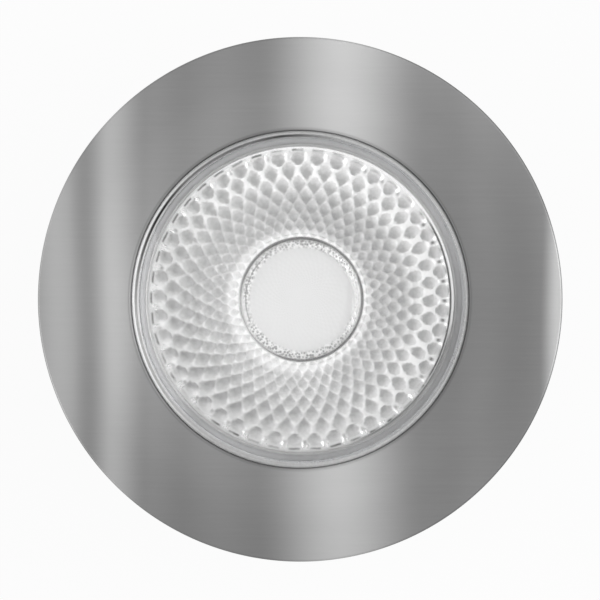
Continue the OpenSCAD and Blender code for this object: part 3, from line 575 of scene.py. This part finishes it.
class LensPattern:
    """The tones of the lens, worked out from where a point lies on its face: painted reflections
    of what the clear facets show, with painted light and shade.
    """

    # a facet's half width, in facets, and its reach inward and outward, in rows
    HALF_WIDTH, REACH_IN, REACH_OUT = 0.46, 0.82, 0.68
    # the same of the outermost facets, the row on which they lie, and where they end
    SHIELD_HALF_WIDTH, SHIELD_REACH_OUT = 0.4, 0.38
    SHIELD_ROW, SHIELD_END = 0.66, 1.15
    # the outermost rows of the two sets of facets begin here, in rows
    EVEN_START, ODD_START = 1.4, 0.5

    def __init__(self, finish, look):
        x, y, radius = finish.x, finish.y, finish.radius
        angle = finish.node("ShaderNodeMath", {"operation": "ARCTAN2"}, {0: y, 1: x})
        self.finish = finish
        self.right, self.back = x / radius, y / radius
        self.fine = finish.noise(1.6, 3, 0.6) - 0.5
        self.patchy = finish.noise(0.35, 3) - 0.5
        # rows counted in from the facets' edge; further in the pattern is looser
        self.inward = (look.edge / MM / radius).logarithm() / look.ratio
        self.loose = self.inward.rise(2.2, 6)
        wobble = 0.14 + self.loose * 0.4
        self.v = self.inward + 0.04 + (finish.noise(0.16, 2) - 0.5) * wobble
        drift = finish.noise(0.2, 2, where=finish.stretched(1, -1, 1)) - 0.5
        self.u = angle * (look.facets / TURN) - look.turn + drift * wobble
        self.clear = self.v.rise(3.4, 1.7)
        self.side = (self.u + 0.5).fraction() - 0.5
        # how far a point lies out from the well's edge
        self.out = radius - look.well / MM
        self.inside = self.out.rise(0.25, 0.15)
        self.inmost = (self.inward - self.toward(0.4, 0.3)).rise(6.4, 7.5)
        # places and directions that several tones share
        self.corner = (self.right + self.back).rise(1.1, 1.4)
        self.right_side = self.right.rise(0.3, 0.95)
        self.far_right = self.right.rise(0.72, 0.9)
        self.front_left = self.toward(-0.7, -0.7)
        self.front_side = -self.back

    def toward(self, right, back):
        """How far a point lies towards a direction, from 1 straight on to -1 opposite."""
        return self.right * right + self.back * back

    def slope(self, near, side, along):
        """A facet's painted shade: light at its outer side, and below on the lens's left."""
        painted_fall = (-self.right).rise(-0.1, 0.8) * (side * self.right * 2 - along * self.back)
        painted_fall = painted_fall * (0.62 - self.inward.rise(0.8, 2.6) * 0.31)
        return (along * -0.85 - painted_fall) * near.rise(1.25, 0.8) * (1 - self.loose * 0.6)

    def diamond(self, shift, start):
        """A facet of every second row: a diamond with full sides, rounder on the right.
        Gives how near a point is to the facet's edge, where that is 1, and its slope's painted
        shade."""
        side = (self.u + 0.5 - shift / 2).fraction() - 0.5
        along = ((self.v + 0.5 - shift) / 2).fraction() * 2 - 1
        tall = (along / self.REACH_IN).most(along / -self.REACH_OUT)
        power = self.right_side * 0.45 + 1.35
        near = ((abs(side) / self.HALF_WIDTH) ** power + tall ** power) ** (1 / power)
        near = near * (1 + self.right_side * 0.14) + self.v.rise(start, start - 0.1) * 3
        return near, self.slope(near, side, along)

    def shield(self):
        """An outermost facet: a shield with its broad side to the rim."""
        along = self.inward - self.SHIELD_ROW + self.patchy * 0.2
        across = abs(self.side) / self.SHIELD_HALF_WIDTH
        near = (across ** 3 + (along / -self.SHIELD_REACH_OUT).most(0) ** 3) ** (1 / 3)
        near = near.most(across * 0.62 + along * 1.5)
        near = near + self.inward.rise(self.SHIELD_END, self.SHIELD_END + 0.1) * 3
        return near, self.slope(near, self.side, along) * 1.4

    def facets(self):
        """The facets' tone, their edges, and how near a point is to one."""
        kinds = (self.diamond(0, self.EVEN_START), self.diamond(1, self.ODD_START), self.shield())
        (even, odd, shield), slopes = zip(*kinds)
        near = even.least(odd).least(shield) + self.fine * 0.5 + self.patchy * 0.3
        edge = near.rise(0.8 - self.clear * 0.12, 1.02)
        # painted reflections: edges are bright in the outer rows, and painted light makes them
        # less so at the front left, the back and the front
        painted_dim = self.front_left.rise(-0.5, 0.9)
        ends = self.back.rise(0.6, 1) * 0.16 + self.front_side.rise(0.6, 1) * 0.07
        strength = 0.17 + self.clear * (0.68 - painted_dim * 0.54 - ends)
        strength = strength + self.patchy * 0.35 * (1 - self.clear)
        grain = self.fine * 0.55 + self.patchy * 0.2
        middle = near.rise(0.9, 0.1) * (0.1 - self.clear * 0.04)
        tone = 0.27 - middle + edge * strength + sum(slopes) + grain
        tone = tone + self.clear * painted_dim * 0.14 + self.inmost * (0.52 - grain * 0.4)
        # painted light and shade: outer facets are paler at the back right, and deeper in their
        # middles at the back left
        painted_light_back_right = self.toward(0.7, 0.7).rise(0.7, 1)
        painted_shade_back_left = self.toward(-0.8, 0.5).rise(0.3, 0.9) * self.inward.rise(2.4, 1.4)
        tone = tone + self.clear * painted_light_back_right * (1 - edge) * 0.1
        tone = tone - near.rise(0.8, 0.1) * painted_shade_back_left * 0.28
        return tone, edge, near

    def outer_strip(self, edge):
        """What the strip next to the rim adds to the tone as painted light, and its painted
        streaky highlights.
        """
        painted_streaks = self.finish.noise(0.9, 3, 0.7).rise(0.4, 0.56) * (1 - self.far_right)
        painted_streaks = painted_streaks * self.inward.bump_at(0.34, 0.38) * abs(self.side).bump_at(0.4, 0.13)
        painted_streaks = painted_streaks * self.front_left.rise(-0.9, -0.3)
        # painted light: the strip is lighter at the right, most of all at the back right, and its
        # edges lighter at the front
        pale = self.toward(0.07, -0.025) + self.corner * 0.24 + 0.07
        pale = pale + edge * self.front_side.rise(0.2, 0.9) * 0.3
        tone = self.inward.bump_at(0.95, 0.65) * 0.1 + painted_streaks * 0.6
        tone = tone + self.inward.bump_at(0.55, 0.4) * self.right_side * 0.12
        return tone + self.inward.bump_at(0.38, 0.3) * pale, painted_streaks

    def rim(self):
        """The rim outside the facets, its tone with a painted highlight that is brighter at the
        back and right, and how far it shines there.
        """
        painted_rim_glow = self.toward(0.5, 0.85).rise(0, 0.9)
        rim = self.inward.rise(0.12 + painted_rim_glow * 0.12, 0.04 + painted_rim_glow * 0.08)
        return rim, 0.55 + painted_rim_glow * 0.6, rim * painted_rim_glow * 0.8

    def well(self):
        """The tone of the well's floor with painted light and shade, its cells, the beads near its
        wall, and where it shines.
        """
        out, back = self.out, self.back
        cells = self.finish.cells(2.3)
        beaded = 0.25 + self.finish.noise(0.11, 1).rise(0.36, 0.54) * 0.75
        beaded = beaded * out.bump_at(-0.95, 1.0) * (1 + self.front_side.rise(0.2, 0.9) * 0.6)
        chain = out.bump_at(-0.95, 0.17) * self.front_side.rise(1, 0)
        chain = chain * abs(self.right).rise(0.3, 0.9) * (1 - self.right.rise(0.3, 0.8) * 0.7)
        # painted light and shade: the floor is lighter at the right and darker at the back and the
        # front, with a painted highlight near the wall at the right and painted shade by the back
        # wall
        painted_shine = out.bump_at(-1, 0.85) * self.toward(0.9, 0.3).rise(0.35, 0.85)
        painted_slant = 0.06 + self.right * 0.1 - back.most(0) * 0.12 - self.front_side.most(0) * 0.16
        tone = 0.68 + beaded * (cells * 2.5 - 1.3 + self.fine * 1.4) - chain * (0.2 + cells)
        tone = tone + out.rise(-2.55, -0.45) * painted_slant + painted_shine * 0.25
        tone = tone - out.rise(-0.85, -0.35) * back.rise(0.6, 1) * 0.22
        return tone, cells, beaded, painted_shine

    def marks_round_well(self):
        """Small dark marks outside the well's edge at the front right."""
        marks = self.out.bump_at(0.4, 0.35) * self.toward(0.5, -0.85).rise(0.6, 1)
        return marks * self.fine.rise(-0.08, 0.08) * 0.5

    def painted_shadow_lines(self):
        """Painted shadow: dashes inside the rim, specks between the outermost facets, and the
        well's edge.
        """
        noise, inward, far_right = self.finish.noise, self.inward, self.far_right
        # how strongly the painted shadow dashes show; on the far right they close up to a line
        gaps = 0.35 + noise(0.09, 1).rise(0.3, 0.45) * 0.65
        gaps = gaps * (0.45 + noise(0.45, 1).rise(0.4, 0.6) * 0.55)
        gaps = gaps.most(self.toward(-0.8, 0.35).rise(0.5, 0.75) * 0.9)
        gaps = gaps * self.toward(0.7, 0.7).rise(0.98, 0.8)
        dashes = inward + self.patchy * (0.2 - far_right * 0.15) - far_right * 0.03
        dashes = dashes.bump_at(0.17, 0.12) * abs(self.side).rise(0.34, 0.2).most(far_right)
        dashes = dashes * gaps.most(far_right) * (0.9 + far_right * 0.1)
        front_right = inward.bump_at(0.06, 0.14) * self.toward(0.77, -0.64).rise(0.84, 0.94)
        between = abs(self.u.fraction() - 0.5)
        specks = inward.bump_at(0.6, 0.26) * between.rise(0.13, 0.03)
        specks = specks * noise(0.3, 1).rise(0.42, 0.55).most(far_right)
        specks = specks * (0.5 + far_right * 0.3)
        # the painted shadow at the well's edge is weaker on the left and at the back right
        thin = self.toward(-0.9, -0.44).rise(0.4, 1) * 0.8 + self.corner * 0.25
        edge = self.out.bump_at(-0.05, 0.4) * (1.05 - thin + self.patchy * 1.4)
        return dashes.most(specks).most(edge.least(0.8)).most(front_right * 0.75)

    def painted_sunlight(self):
        """Painted light: how much lighter a point is, the outer rows at the back right, the inner
        ones not.
        """
        outer = self.inward.rise(4.6, 2)
        painted_sun = (self.right + self.back) * (outer * 0.2 - 0.08) - (1 - outer) * 0.05
        return painted_sun * (1 - self.inside) * (1 - self.inmost)


def faceted_lens(look):
    """Moulded acrylic with painted reflections in its colour: grey facets with bright edges, a
    pale well and its beaded rim.
    """
    finish = Finish("faceted_lens")
    pattern = LensPattern(finish, look)
    tone, edge, near = pattern.facets()
    strip, painted_streaks = pattern.outer_strip(edge)
    rim, rim_tone, rim_shine = pattern.rim()
    floor, cells, beaded, well_shine = pattern.well()
    tone = (tone + strip) * (1 - rim) + rim_tone * rim - pattern.marks_round_well()
    tone = tone * (1 - pattern.inside) + floor * pattern.inside
    # the pattern is on the face only, and the lens's back is plain
    face = finish.z.rise(-16, -15.6)
    tone = (tone * face + 0.5 * (1 - face)).most(0).least(1)
    lit_edges = pattern.toward(0.85, 0.5).rise(0.3, 0.9) * pattern.inward.rise(1.5, 0.4)
    lit_edges = lit_edges * edge * 0.5
    colour = finish.blend(tone, look.dark_tone, look.light_tone)
    # painted light and painted shadow lines lighten and darken the colour
    painted_light_level = (1 + pattern.painted_sunlight()) * (1 - pattern.painted_shadow_lines() * face)
    return finish.surface(
        Base_Color=finish.tinted(colour, painted_light_level),
        Metallic=rim_shine.most(painted_streaks * 0.9).most(lit_edges).most(well_shine * 0.9),
        Roughness=0.16 + (1 - edge) * 0.06 + beaded * 0.1,
        IOR=1.49,
        Normal=finish.relief(cells * beaded + near.least(1) * 0.1, 0.12),
    )


# Finishes of the pieces under the plate


def moulded(name, colour, roughness, grain, depth, edge, scuffs=0.0):
    """Moulded plastic: fine spark texture, flow marks, handling scuffs and rounded edges."""
    finish = Finish(name)
    spark = finish.noise(grain * 3, 4, 0.65)
    pores = finish.cells(grain * 1.7)
    flow = finish.noise(0.05, 3, warp=1.5)
    rubbed = finish.noise(0.09, 4, 0.7, warp=0.5).rise(0.5, 0.68)
    scratches = finish.noise(1, 3, 0.65, finish.stretched(0.35, 0.35, 2.6)).rise(0.56, 0.7)
    worn = scratches * rubbed * scuffs
    tone = 0.94 + (flow - 0.5) * 0.3 + (spark - 0.5) * 0.2 + worn * 0.9 + rubbed * scuffs * 0.12
    return finish.surface(
        Base_Color=finish.tinted(colour, tone),
        Roughness=roughness + (spark - 0.5) * 0.18 + (flow - 0.5) * 0.2 - worn * 0.15,
        IOR=1.5,
        Normal=finish.relief(
            spark * 0.7 + pores * 0.3 - worn * 0.5, depth, finish.soft_edges(edge)),
    )


def cast_metal(name, colour):
    """Cast and turned aluminium: grainy skin, turning rings, faint stains and a few pits."""
    finish = Finish(name)
    skin = finish.noise(1.8, 5, 0.7) - 0.5
    stains = finish.noise(0.07, 4, 0.6, warp=0.8) - 0.5
    pits = finish.cells(0.45).rise(0.08, 0.02)
    rings = finish.rings(3, 3, 0.7) - 0.5
    # the upper part of the housing is turned
    turned = finish.z.rise(-23, -22.5)
    marks = skin * (0.75 - turned * 0.4) + rings * (0.2 + turned * 0.3)
    tone = 0.88 + turned * 0.06 + marks + stains * 0.4 - pits * 0.15
    height = (skin + 0.5) * (0.8 - turned * 0.5) + rings * 0.5 - pits
    return finish.surface(
        Base_Color=finish.tinted(colour, tone),
        Metallic=1.0,
        Roughness=0.42 + skin * 0.3 + stains * 0.25 + pits * 0.2 - turned * 0.1,
        Normal=finish.relief(height, 0.05, finish.soft_edges(0.2)),
    )


def rolled_strip(name, colour):
    """Rolled spring strip: hairlines down its length and a faint stain."""
    finish = Finish(name)
    lines = finish.noise(1, 4, 0.7, finish.stretched(5, 5, 0.25)) - 0.5
    stain = finish.noise(0.22, 4, 0.6, warp=0.6) - 0.5
    return finish.surface(
        Base_Color=finish.tinted(colour, 0.9 + lines * 0.5 + stain * 0.4),
        Metallic=1.0,
        Roughness=0.28 + lines * 0.2 + stain * 0.2,
        Normal=finish.relief(lines, 0.012, finish.soft_edges(0.08)),
    )


def machined(name, colour, roughness=0.24):
    """Machined metal: fine concentric marks and small scratches."""
    finish = Finish(name)
    marks = finish.noise(6, 3, 0.6) - 0.5
    scratches = finish.noise(1, 3, 0.7, finish.stretched(1.2, 12, 4)) - 0.5
    return finish.surface(
        Base_Color=finish.tinted(colour, 0.92 + marks * 0.12 + scratches * 0.12),
        Metallic=1.0,
        Roughness=roughness + marks * 0.14 + scratches * 0.1,
        Normal=finish.relief(marks * 0.5 + scratches * 0.5, 0.008, finish.soft_edges(0.08)),
    )


def matt(name, colour, roughness, grain=3, depth=0.02, bloom=0.12):
    """Rubber, ceramic or pressed powder: a matt, slightly dusty skin."""
    finish = Finish(name)
    skin = finish.noise(grain, 4, 0.6) - 0.5
    dust = finish.noise(0.18, 3)
    return finish.surface(
        Base_Color=finish.tinted(colour, 0.95 + (dust - 0.4) * bloom * 2 + skin * 0.14),
        Roughness=roughness + skin * 0.2 - (dust - 0.5) * 0.1,
        Normal=finish.relief(skin, depth, finish.soft_edges(0.1)),
    )


def solder_mask(colour):
    """Circuit board: solder mask over copper areas, with glass weave underneath."""
    finish = Finish("circuit_board")
    weave = (finish.x * 9).sine() * (finish.y * 9).sine() * 0.5 + 0.5
    copper = finish.cells(0.16, "DISTANCE_TO_EDGE").rise(0.05, 0.09)
    speck = finish.noise(3, 3) - 0.5
    return finish.surface(
        Base_Color=finish.tinted(colour, 0.72 + copper * 0.5 + weave * 0.05 + speck * 0.1),
        Roughness=0.32 + speck * 0.12,
        Normal=finish.relief(copper * 0.8 + weave * 0.2, 0.03),
    )


# Pieces


class GROUND_LIGHT_OT_faceplate(bpy.types.Operator):
    """Builds the brushed plate with its rounded edges and prising notch"""

    bl_idname = "ground_light.faceplate"
    bl_label = "Faceplate"

    def execute(self, context):
        plate = context.scene.ground_light.faceplate
        top, low, outer = PLATE_HIGH.z, PLATE_LOW.z, PLATE_HIGH.x
        outline = rounded(
            [(plate.opening, plate.recess), (plate.rim, plate.recess), (plate.rim, low),
             (outer, low), (outer, top), (plate.opening, top)],
            [0.1 * MM, 0.05 * MM, 0.1 * MM, 0.15 * MM, plate.edge, plate.edge], 5)

        def notched(angle, radius, height):
            """Lifts what is under the notch to the notch's height."""
            across = radius * math.cos(angle)
            inside = abs(across) < plate.notch_width / 2 and math.sin(angle) < 0
            return radius, max(height, plate.notch_height) if inside else height

        made = lathe("faceplate_brushed", outline, 720, notched)
        dressed(made, "faceplate", brushed_plate(plate))
        return {"FINISHED"}


class GROUND_LIGHT_OT_cover_glass(bpy.types.Operator):
    """Builds the stepped cover glass with its ground bevel"""

    bl_idname = "ground_light.cover_glass"
    bl_label = "Cover glass"

    def execute(self, context):
        glass = context.scene.ground_light.glass
        wide, top, low = GLASS_HIGH.x, GLASS_HIGH.z, GLASS_LOW.z
        narrow = wide - glass.step
        outline = rounded(
            [(0, low), (wide, low), (wide, glass.step_top), (narrow, glass.step_top),
             (narrow, top - glass.bevel / 3), (narrow - glass.bevel, top), (0, top)],
            [0, 0.3 * MM, 0.3 * MM, 0.05 * MM, 0.08 * MM, 0.08 * MM, 0])
        made = lathe("cover_glass_clear", outline, sharp=25)
        dressed(made, "cover_glass", clear_glass(glass))
        return {"FINISHED"}


class GROUND_LIGHT_OT_bezel(bpy.types.Operator):
    """Builds the satin ring round the lens"""

    bl_idname = "ground_light.bezel"
    bl_label = "Lens bezel"

    def execute(self, context):
        bezel = context.scene.ground_light.bezel
        outer, top, low = BEZEL_HIGH.x, BEZEL_HIGH.z, BEZEL_LOW.z
        chamfer = 0.35 * MM
        outline = rounded(
            [(bezel.bore, low), (outer, low), (outer, top - chamfer),
             (bezel.lip + chamfer, top), (bezel.lip, top - 0.3 * MM),
             (bezel.lip, LENS_FACE + 0.05 * MM), (bezel.bore, LENS_FACE)],
            [0.1 * MM, 0.1 * MM, 0.15 * MM, 0.15 * MM, 0.12 * MM, 0, 0])
        made = lathe("lens_bezel_satin", outline)
        dressed(made, "lens_bezel", satin_bezel(bezel))
        return {"FINISHED"}


class GROUND_LIGHT_OT_lens(bpy.types.Operator):
    """Builds the lens: rows of domed facets, the plain well, and the flared back"""

    bl_idname = "ground_light.lens"
    bl_label = "Lens"

    def execute(self, context):
        look = context.scene.ground_light.lens
        facet_steps, row_steps = 12, 9
        half_width, half_height = 0.47, 0.62
        flat_strip, fade_strip, plain_rows = 0.22, 0.3, 0.3

        def crown(angle, inward):
            """Height of the facets over the lens's face, fading out next to the rim."""
            u = angle * look.facets / TURN - look.turn
            near = min(
                math.hypot(abs((u + 0.5 - shift / 2) % 1 - 0.5) / half_width,
                           abs((inward + 0.5 - shift) % 2 - 1) / half_height)
                for shift in (0, 1))
            fade = min(1, max(0, (inward - flat_strip) / fade_strip))
            return look.dome * fade * max(0, 1 - near * near)

        def domed(angle, radius, height):
            """Lifts a point of the face by its facet's crown."""
            inward = math.log(look.edge / radius) / look.ratio
            on_facets = abs(height - LENS_FACE) < TINY and -TINY < inward < look.rows - plain_rows
            return radius, height + (crown(angle, inward) if on_facets else 0)

        rows = [
            (look.edge * math.exp(-look.ratio * k / row_steps), LENS_FACE)
            for k in range(look.rows * row_steps + 1)]
        well, floor = look.well, LENS_FACE - look.well_depth
        inner = rounded(
            [(well + 0.25 * MM, LENS_FACE), (well, LENS_FACE), (well - 0.15 * MM, floor),
             (0, floor)],
            [0, 0.12 * MM, 0.8 * MM, 0], 5)
        # the back has a hollow for the light source, flares outward and ends in a flange
        low, flange = LENS_LOW.z, LENS_FACE - 1.6 * MM
        hollow, hollow_top = 6.2 * MM, low + 6 * MM
        back = [
            (0, hollow_top), (hollow, hollow_top), (hollow, low), (8 * MM, low),
            (13.5 * MM, low + 5.4 * MM), (18 * MM, low + 11.6 * MM),
            (21.2 * MM, low + 15.2 * MM), (23.8 * MM, flange), (LENS_HIGH.x, flange),
            (LENS_HIGH.x, LENS_FACE)]
        made = lathe("lens_faceted", back + rows + inner, look.facets * facet_steps, domed, 50)
        dressed(made, "lens", faceted_lens(look))
        return {"FINISHED"}


class GROUND_LIGHT_OT_sleeve(bpy.types.Operator):
    """Finishes the moulded sleeve that stays in the ground"""

    bl_idname = "ground_light.sleeve"
    bl_label = "Mounting sleeve"

    def execute(self, context):
        plastic = moulded(
            "sleeve_plastic", context.scene.ground_light.finish.sleeve, roughness=0.6,
            grain=1.0, depth=0.06, edge=0.35, scuffs=1.0)
        paint(plastic, "sleeve_plastic", "mounting_sleeve")
        return {"FINISHED"}


class GROUND_LIGHT_OT_housing(bpy.types.Operator):
    """Finishes the aluminium housing, its ring, heat spreader and rear cover"""

    bl_idname = "ground_light.housing"
    bl_label = "Housing"

    def execute(self, context):
        colour = Vector(context.scene.ground_light.finish.aluminium)
        paint(cast_metal("cast_aluminium", colour), "cast_aluminium", "housing", "rear_cover")
        paint(machined("turned_aluminium", colour * 1.25, 0.3), "turned_aluminium",
              "clamp_ring", "heat_spreader")
        return {"FINISHED"}


class GROUND_LIGHT_OT_springs(bpy.types.Operator):
    """Finishes the side springs and the faceplate's clips"""

    bl_idname = "ground_light.springs"
    bl_label = "Springs and clips"

    def execute(self, context):
        colour = context.scene.ground_light.finish.spring
        paint(rolled_strip("spring_steel", colour), "spring_steel", "faceplate_clips",
              "side_spring_1", "side_spring_2", "side_spring_3", "spring_feet")
        return {"FINISHED"}


class GROUND_LIGHT_OT_screws(bpy.types.Operator):
    """Finishes the screws"""

    bl_idname = "ground_light.screws"
    bl_label = "Screws"

    def execute(self, context):
        colour = context.scene.ground_light.finish.screw
        paint(machined("stainless_screws", colour), "stainless_screws", "clamp_ring_screws",
              "holder_screws", "spreader_screws", "board_screws", "rear_cover_screws",
              "spring_screws")
        return {"FINISHED"}


class GROUND_LIGHT_OT_seals(bpy.types.Operator):
    """Finishes the gasket, seals and washer"""

    bl_idname = "ground_light.seals"
    bl_label = "Gasket and seals"

    def execute(self, context):
        colours = context.scene.ground_light.finish
        paint(matt("silicone", colours.silicone, 0.6), "silicone", "glass_gasket")
        paint(matt("black_rubber", colours.rubber, 0.7), "black_rubber", "rear_cover_seal",
              "gland_washer", "gland_seal")
        return {"FINISHED"}


class GROUND_LIGHT_OT_gland(bpy.types.Operator):
    """Finishes the cable gland"""

    bl_idname = "ground_light.gland"
    bl_label = "Cable gland"

    def execute(self, context):
        nylon = moulded(
            "gland_nylon", context.scene.ground_light.finish.nylon, roughness=0.42, grain=2,
            depth=0.012, edge=0.25)
        paint(nylon, "gland_nylon", "gland_body", "gland_locknut", "gland_nut")
        return {"FINISHED"}


class GROUND_LIGHT_OT_source(bpy.types.Operator):
    """Finishes the light source, its holder, pad and leads"""

    bl_idname = "ground_light.source"
    bl_label = "Light source"

    def execute(self, context):
        plastic = moulded(
            "white_plastic", (0.88, 0.88, 0.86), roughness=0.5, grain=2, depth=0.01, edge=0.15)
        phosphor = matt(
            "phosphor", (0.9, 0.72, 0.2), roughness=0.6, grain=6, depth=0.02, bloom=0.05)
        paint(plastic, "white_plastic", "source_holder", "input_terminal")
        paint(matt("board_ceramic", (0.8, 0.81, 0.81), 0.5), "board_ceramic", "source_board")
        paint(phosphor, "phosphor", "source_phosphor")
        paint(matt("thermal_pad", (0.4, 0.45, 0.52), 0.7), "thermal_pad", "thermal_pad")
        paint(matt("lead_insulation", (0.55, 0.05, 0.03), 0.45), "lead_insulation",
              "source_leads")
        return {"FINISHED"}


class GROUND_LIGHT_OT_driver(bpy.types.Operator):
    """Finishes the driver board and what stands on it"""

    bl_idname = "ground_light.driver"
    bl_label = "Driver"

    def execute(self, context):
        paint(solder_mask(context.scene.ground_light.finish.board), "circuit_board",
              "driver_board")
        paint(machined("brass", (0.7, 0.55, 0.25)), "brass", "board_standoffs")
        paint(matt("ferrite", (0.08, 0.08, 0.085), 0.8, 5, 0.04), "ferrite", "driver_inductor")
        paint(matt("capacitor_can", (0.06, 0.07, 0.12), 0.35, 2, 0.008), "capacitor_can",
              "driver_capacitor")
        paint(matt("moulded_chip", (0.03, 0.03, 0.03), 0.55, 5, 0.015), "moulded_chip",
              "driver_rectifier", "driver_chip")
        return {"FINISHED"}


# Stage

WHITE = (1, 1, 1)


def set_camera(context, stage):
    """Puts the camera over the plate, with the plate's width of the picture as set."""
    data = bpy.data.cameras.new("camera")
    data.sensor_width = 36
    data.lens = data.sensor_width * stage.distance / stage.frame_width
    data.clip_start, data.clip_end = 0.05, 50
    camera = bpy.data.objects.new("camera", data)
    context.scene.collection.objects.link(camera)
    target = Vector((*stage.aim, PLATE_HIGH.z))
    camera.location = target + Vector((*stage.lean, stage.distance))
    back = (camera.location - target).normalized()
    right = Vector((0, 1, 0)).cross(back).normalized()
    camera.rotation_euler = Matrix((right, back.cross(right), back)).transposed().to_euler()
    context.scene.camera = camera


def lay_floor(colour):
    """A pale floor just under the sleeve, which metal, glass and the camera see nearly white."""
    half, low = 6, SLEEVE_FOOT - 0.05 * MM
    corners = [(-half, -half, low), (half, -half, low), (half, half, low), (-half, half, low)]
    floor = piece("floor", corners, [(0, 1, 2, 3)])
    paper = Finish("pale_floor")
    tone = paper.noise(0.002, 2) * 0.04 + 0.98
    matt_paper = paper.node(
        "ShaderNodeBsdfDiffuse", None, {"Color": paper.tinted(colour, tone)})
    bright = paper.node("ShaderNodeEmission", None, {"Color": WHITE, "Strength": 1})
    paper.close(paper.node(
        "ShaderNodeMixShader", None, {0: paper.seen_white() * 0.94, 1: matt_paper, 2: bright}))
    floor.data.materials.append(paper.material)


def light_room(context, ambient):
    """A world that lights the light evenly, and that metal, glass and the camera see white."""
    world = bpy.data.worlds.new("studio")
    context.scene.world = world
    room = ShaderTree(world, "ShaderNodeOutputWorld")
    strength = room.seen_white() * (1 - ambient) + ambient
    room.close(room.node("ShaderNodeBackground", None, {"Color": WHITE, "Strength": strength}))


def lamp(name, place, size, power):
    """A soft square lamp that points at the light and that the camera doesn't see."""
    data = bpy.data.lights.new(name, "AREA")
    data.shape = "SQUARE"
    data.size = size
    data.energy = power
    made = bpy.data.objects.new(name, data)
    bpy.context.scene.collection.objects.link(made)
    made.location = place
    made.rotation_mode = "QUATERNION"
    made.rotation_quaternion = (-Vector(place)).to_track_quat("-Z", "Y")
    made.visible_camera = False


class GROUND_LIGHT_OT_stage(bpy.types.Operator):
    """Sets the camera above the plate, with a pale floor and soft lamps"""

    bl_idname = "ground_light.stage"
    bl_label = "Stage"

    def execute(self, context):
        stage = context.scene.ground_light.stage
        set_camera(context, stage)
        lay_floor(stage.floor_colour)
        light_room(context, stage.ambient)
        lamp("key_lamp", (0.6, 0.1, 1.0), 0.9, stage.key)
        lamp("fill_lamp", (-0.8, -0.2, 0.7), 0.7, stage.fill)
        context.scene.view_settings.view_transform = "Standard"
        return {"FINISHED"}


# Panel and start

STEPS = (
    GROUND_LIGHT_OT_stage,
    GROUND_LIGHT_OT_faceplate,
    GROUND_LIGHT_OT_cover_glass,
    GROUND_LIGHT_OT_bezel,
    GROUND_LIGHT_OT_lens,
    GROUND_LIGHT_OT_sleeve,
    GROUND_LIGHT_OT_housing,
    GROUND_LIGHT_OT_springs,
    GROUND_LIGHT_OT_screws,
    GROUND_LIGHT_OT_seals,
    GROUND_LIGHT_OT_gland,
    GROUND_LIGHT_OT_source,
    GROUND_LIGHT_OT_driver,
)


class GROUND_LIGHT_PT_sidebar(bpy.types.Panel):
    """Lists the pieces of the in-ground light"""

    bl_idname = "GROUND_LIGHT_PT_sidebar"
    bl_label = "In-ground light"
    bl_space_type = "VIEW_3D"
    bl_region_type = "UI"
    bl_category = "Ground Light"

    def draw(self, context):
        for step in STEPS:
            self.layout.operator(step.bl_idname)


CLASSES = (
    FaceplateSettings, GlassSettings, LensSettings, BezelSettings, FinishSettings,
    StageSettings, GroundLightSettings, *STEPS, GROUND_LIGHT_PT_sidebar)


def register():
    for made in CLASSES:
        bpy.utils.register_class(made)
    bpy.types.Scene.ground_light = PointerProperty(
        type=GroundLightSettings, name="In-ground light", description="Settings of the light")


def unregister():
    del bpy.types.Scene.ground_light
    for made in reversed(CLASSES):
        bpy.utils.unregister_class(made)


def main():
    register()
    for step in STEPS:
        group, name = step.bl_idname.split(".")
        getattr(getattr(bpy.ops, group), name)()


if __name__ == "__main__":
    main()
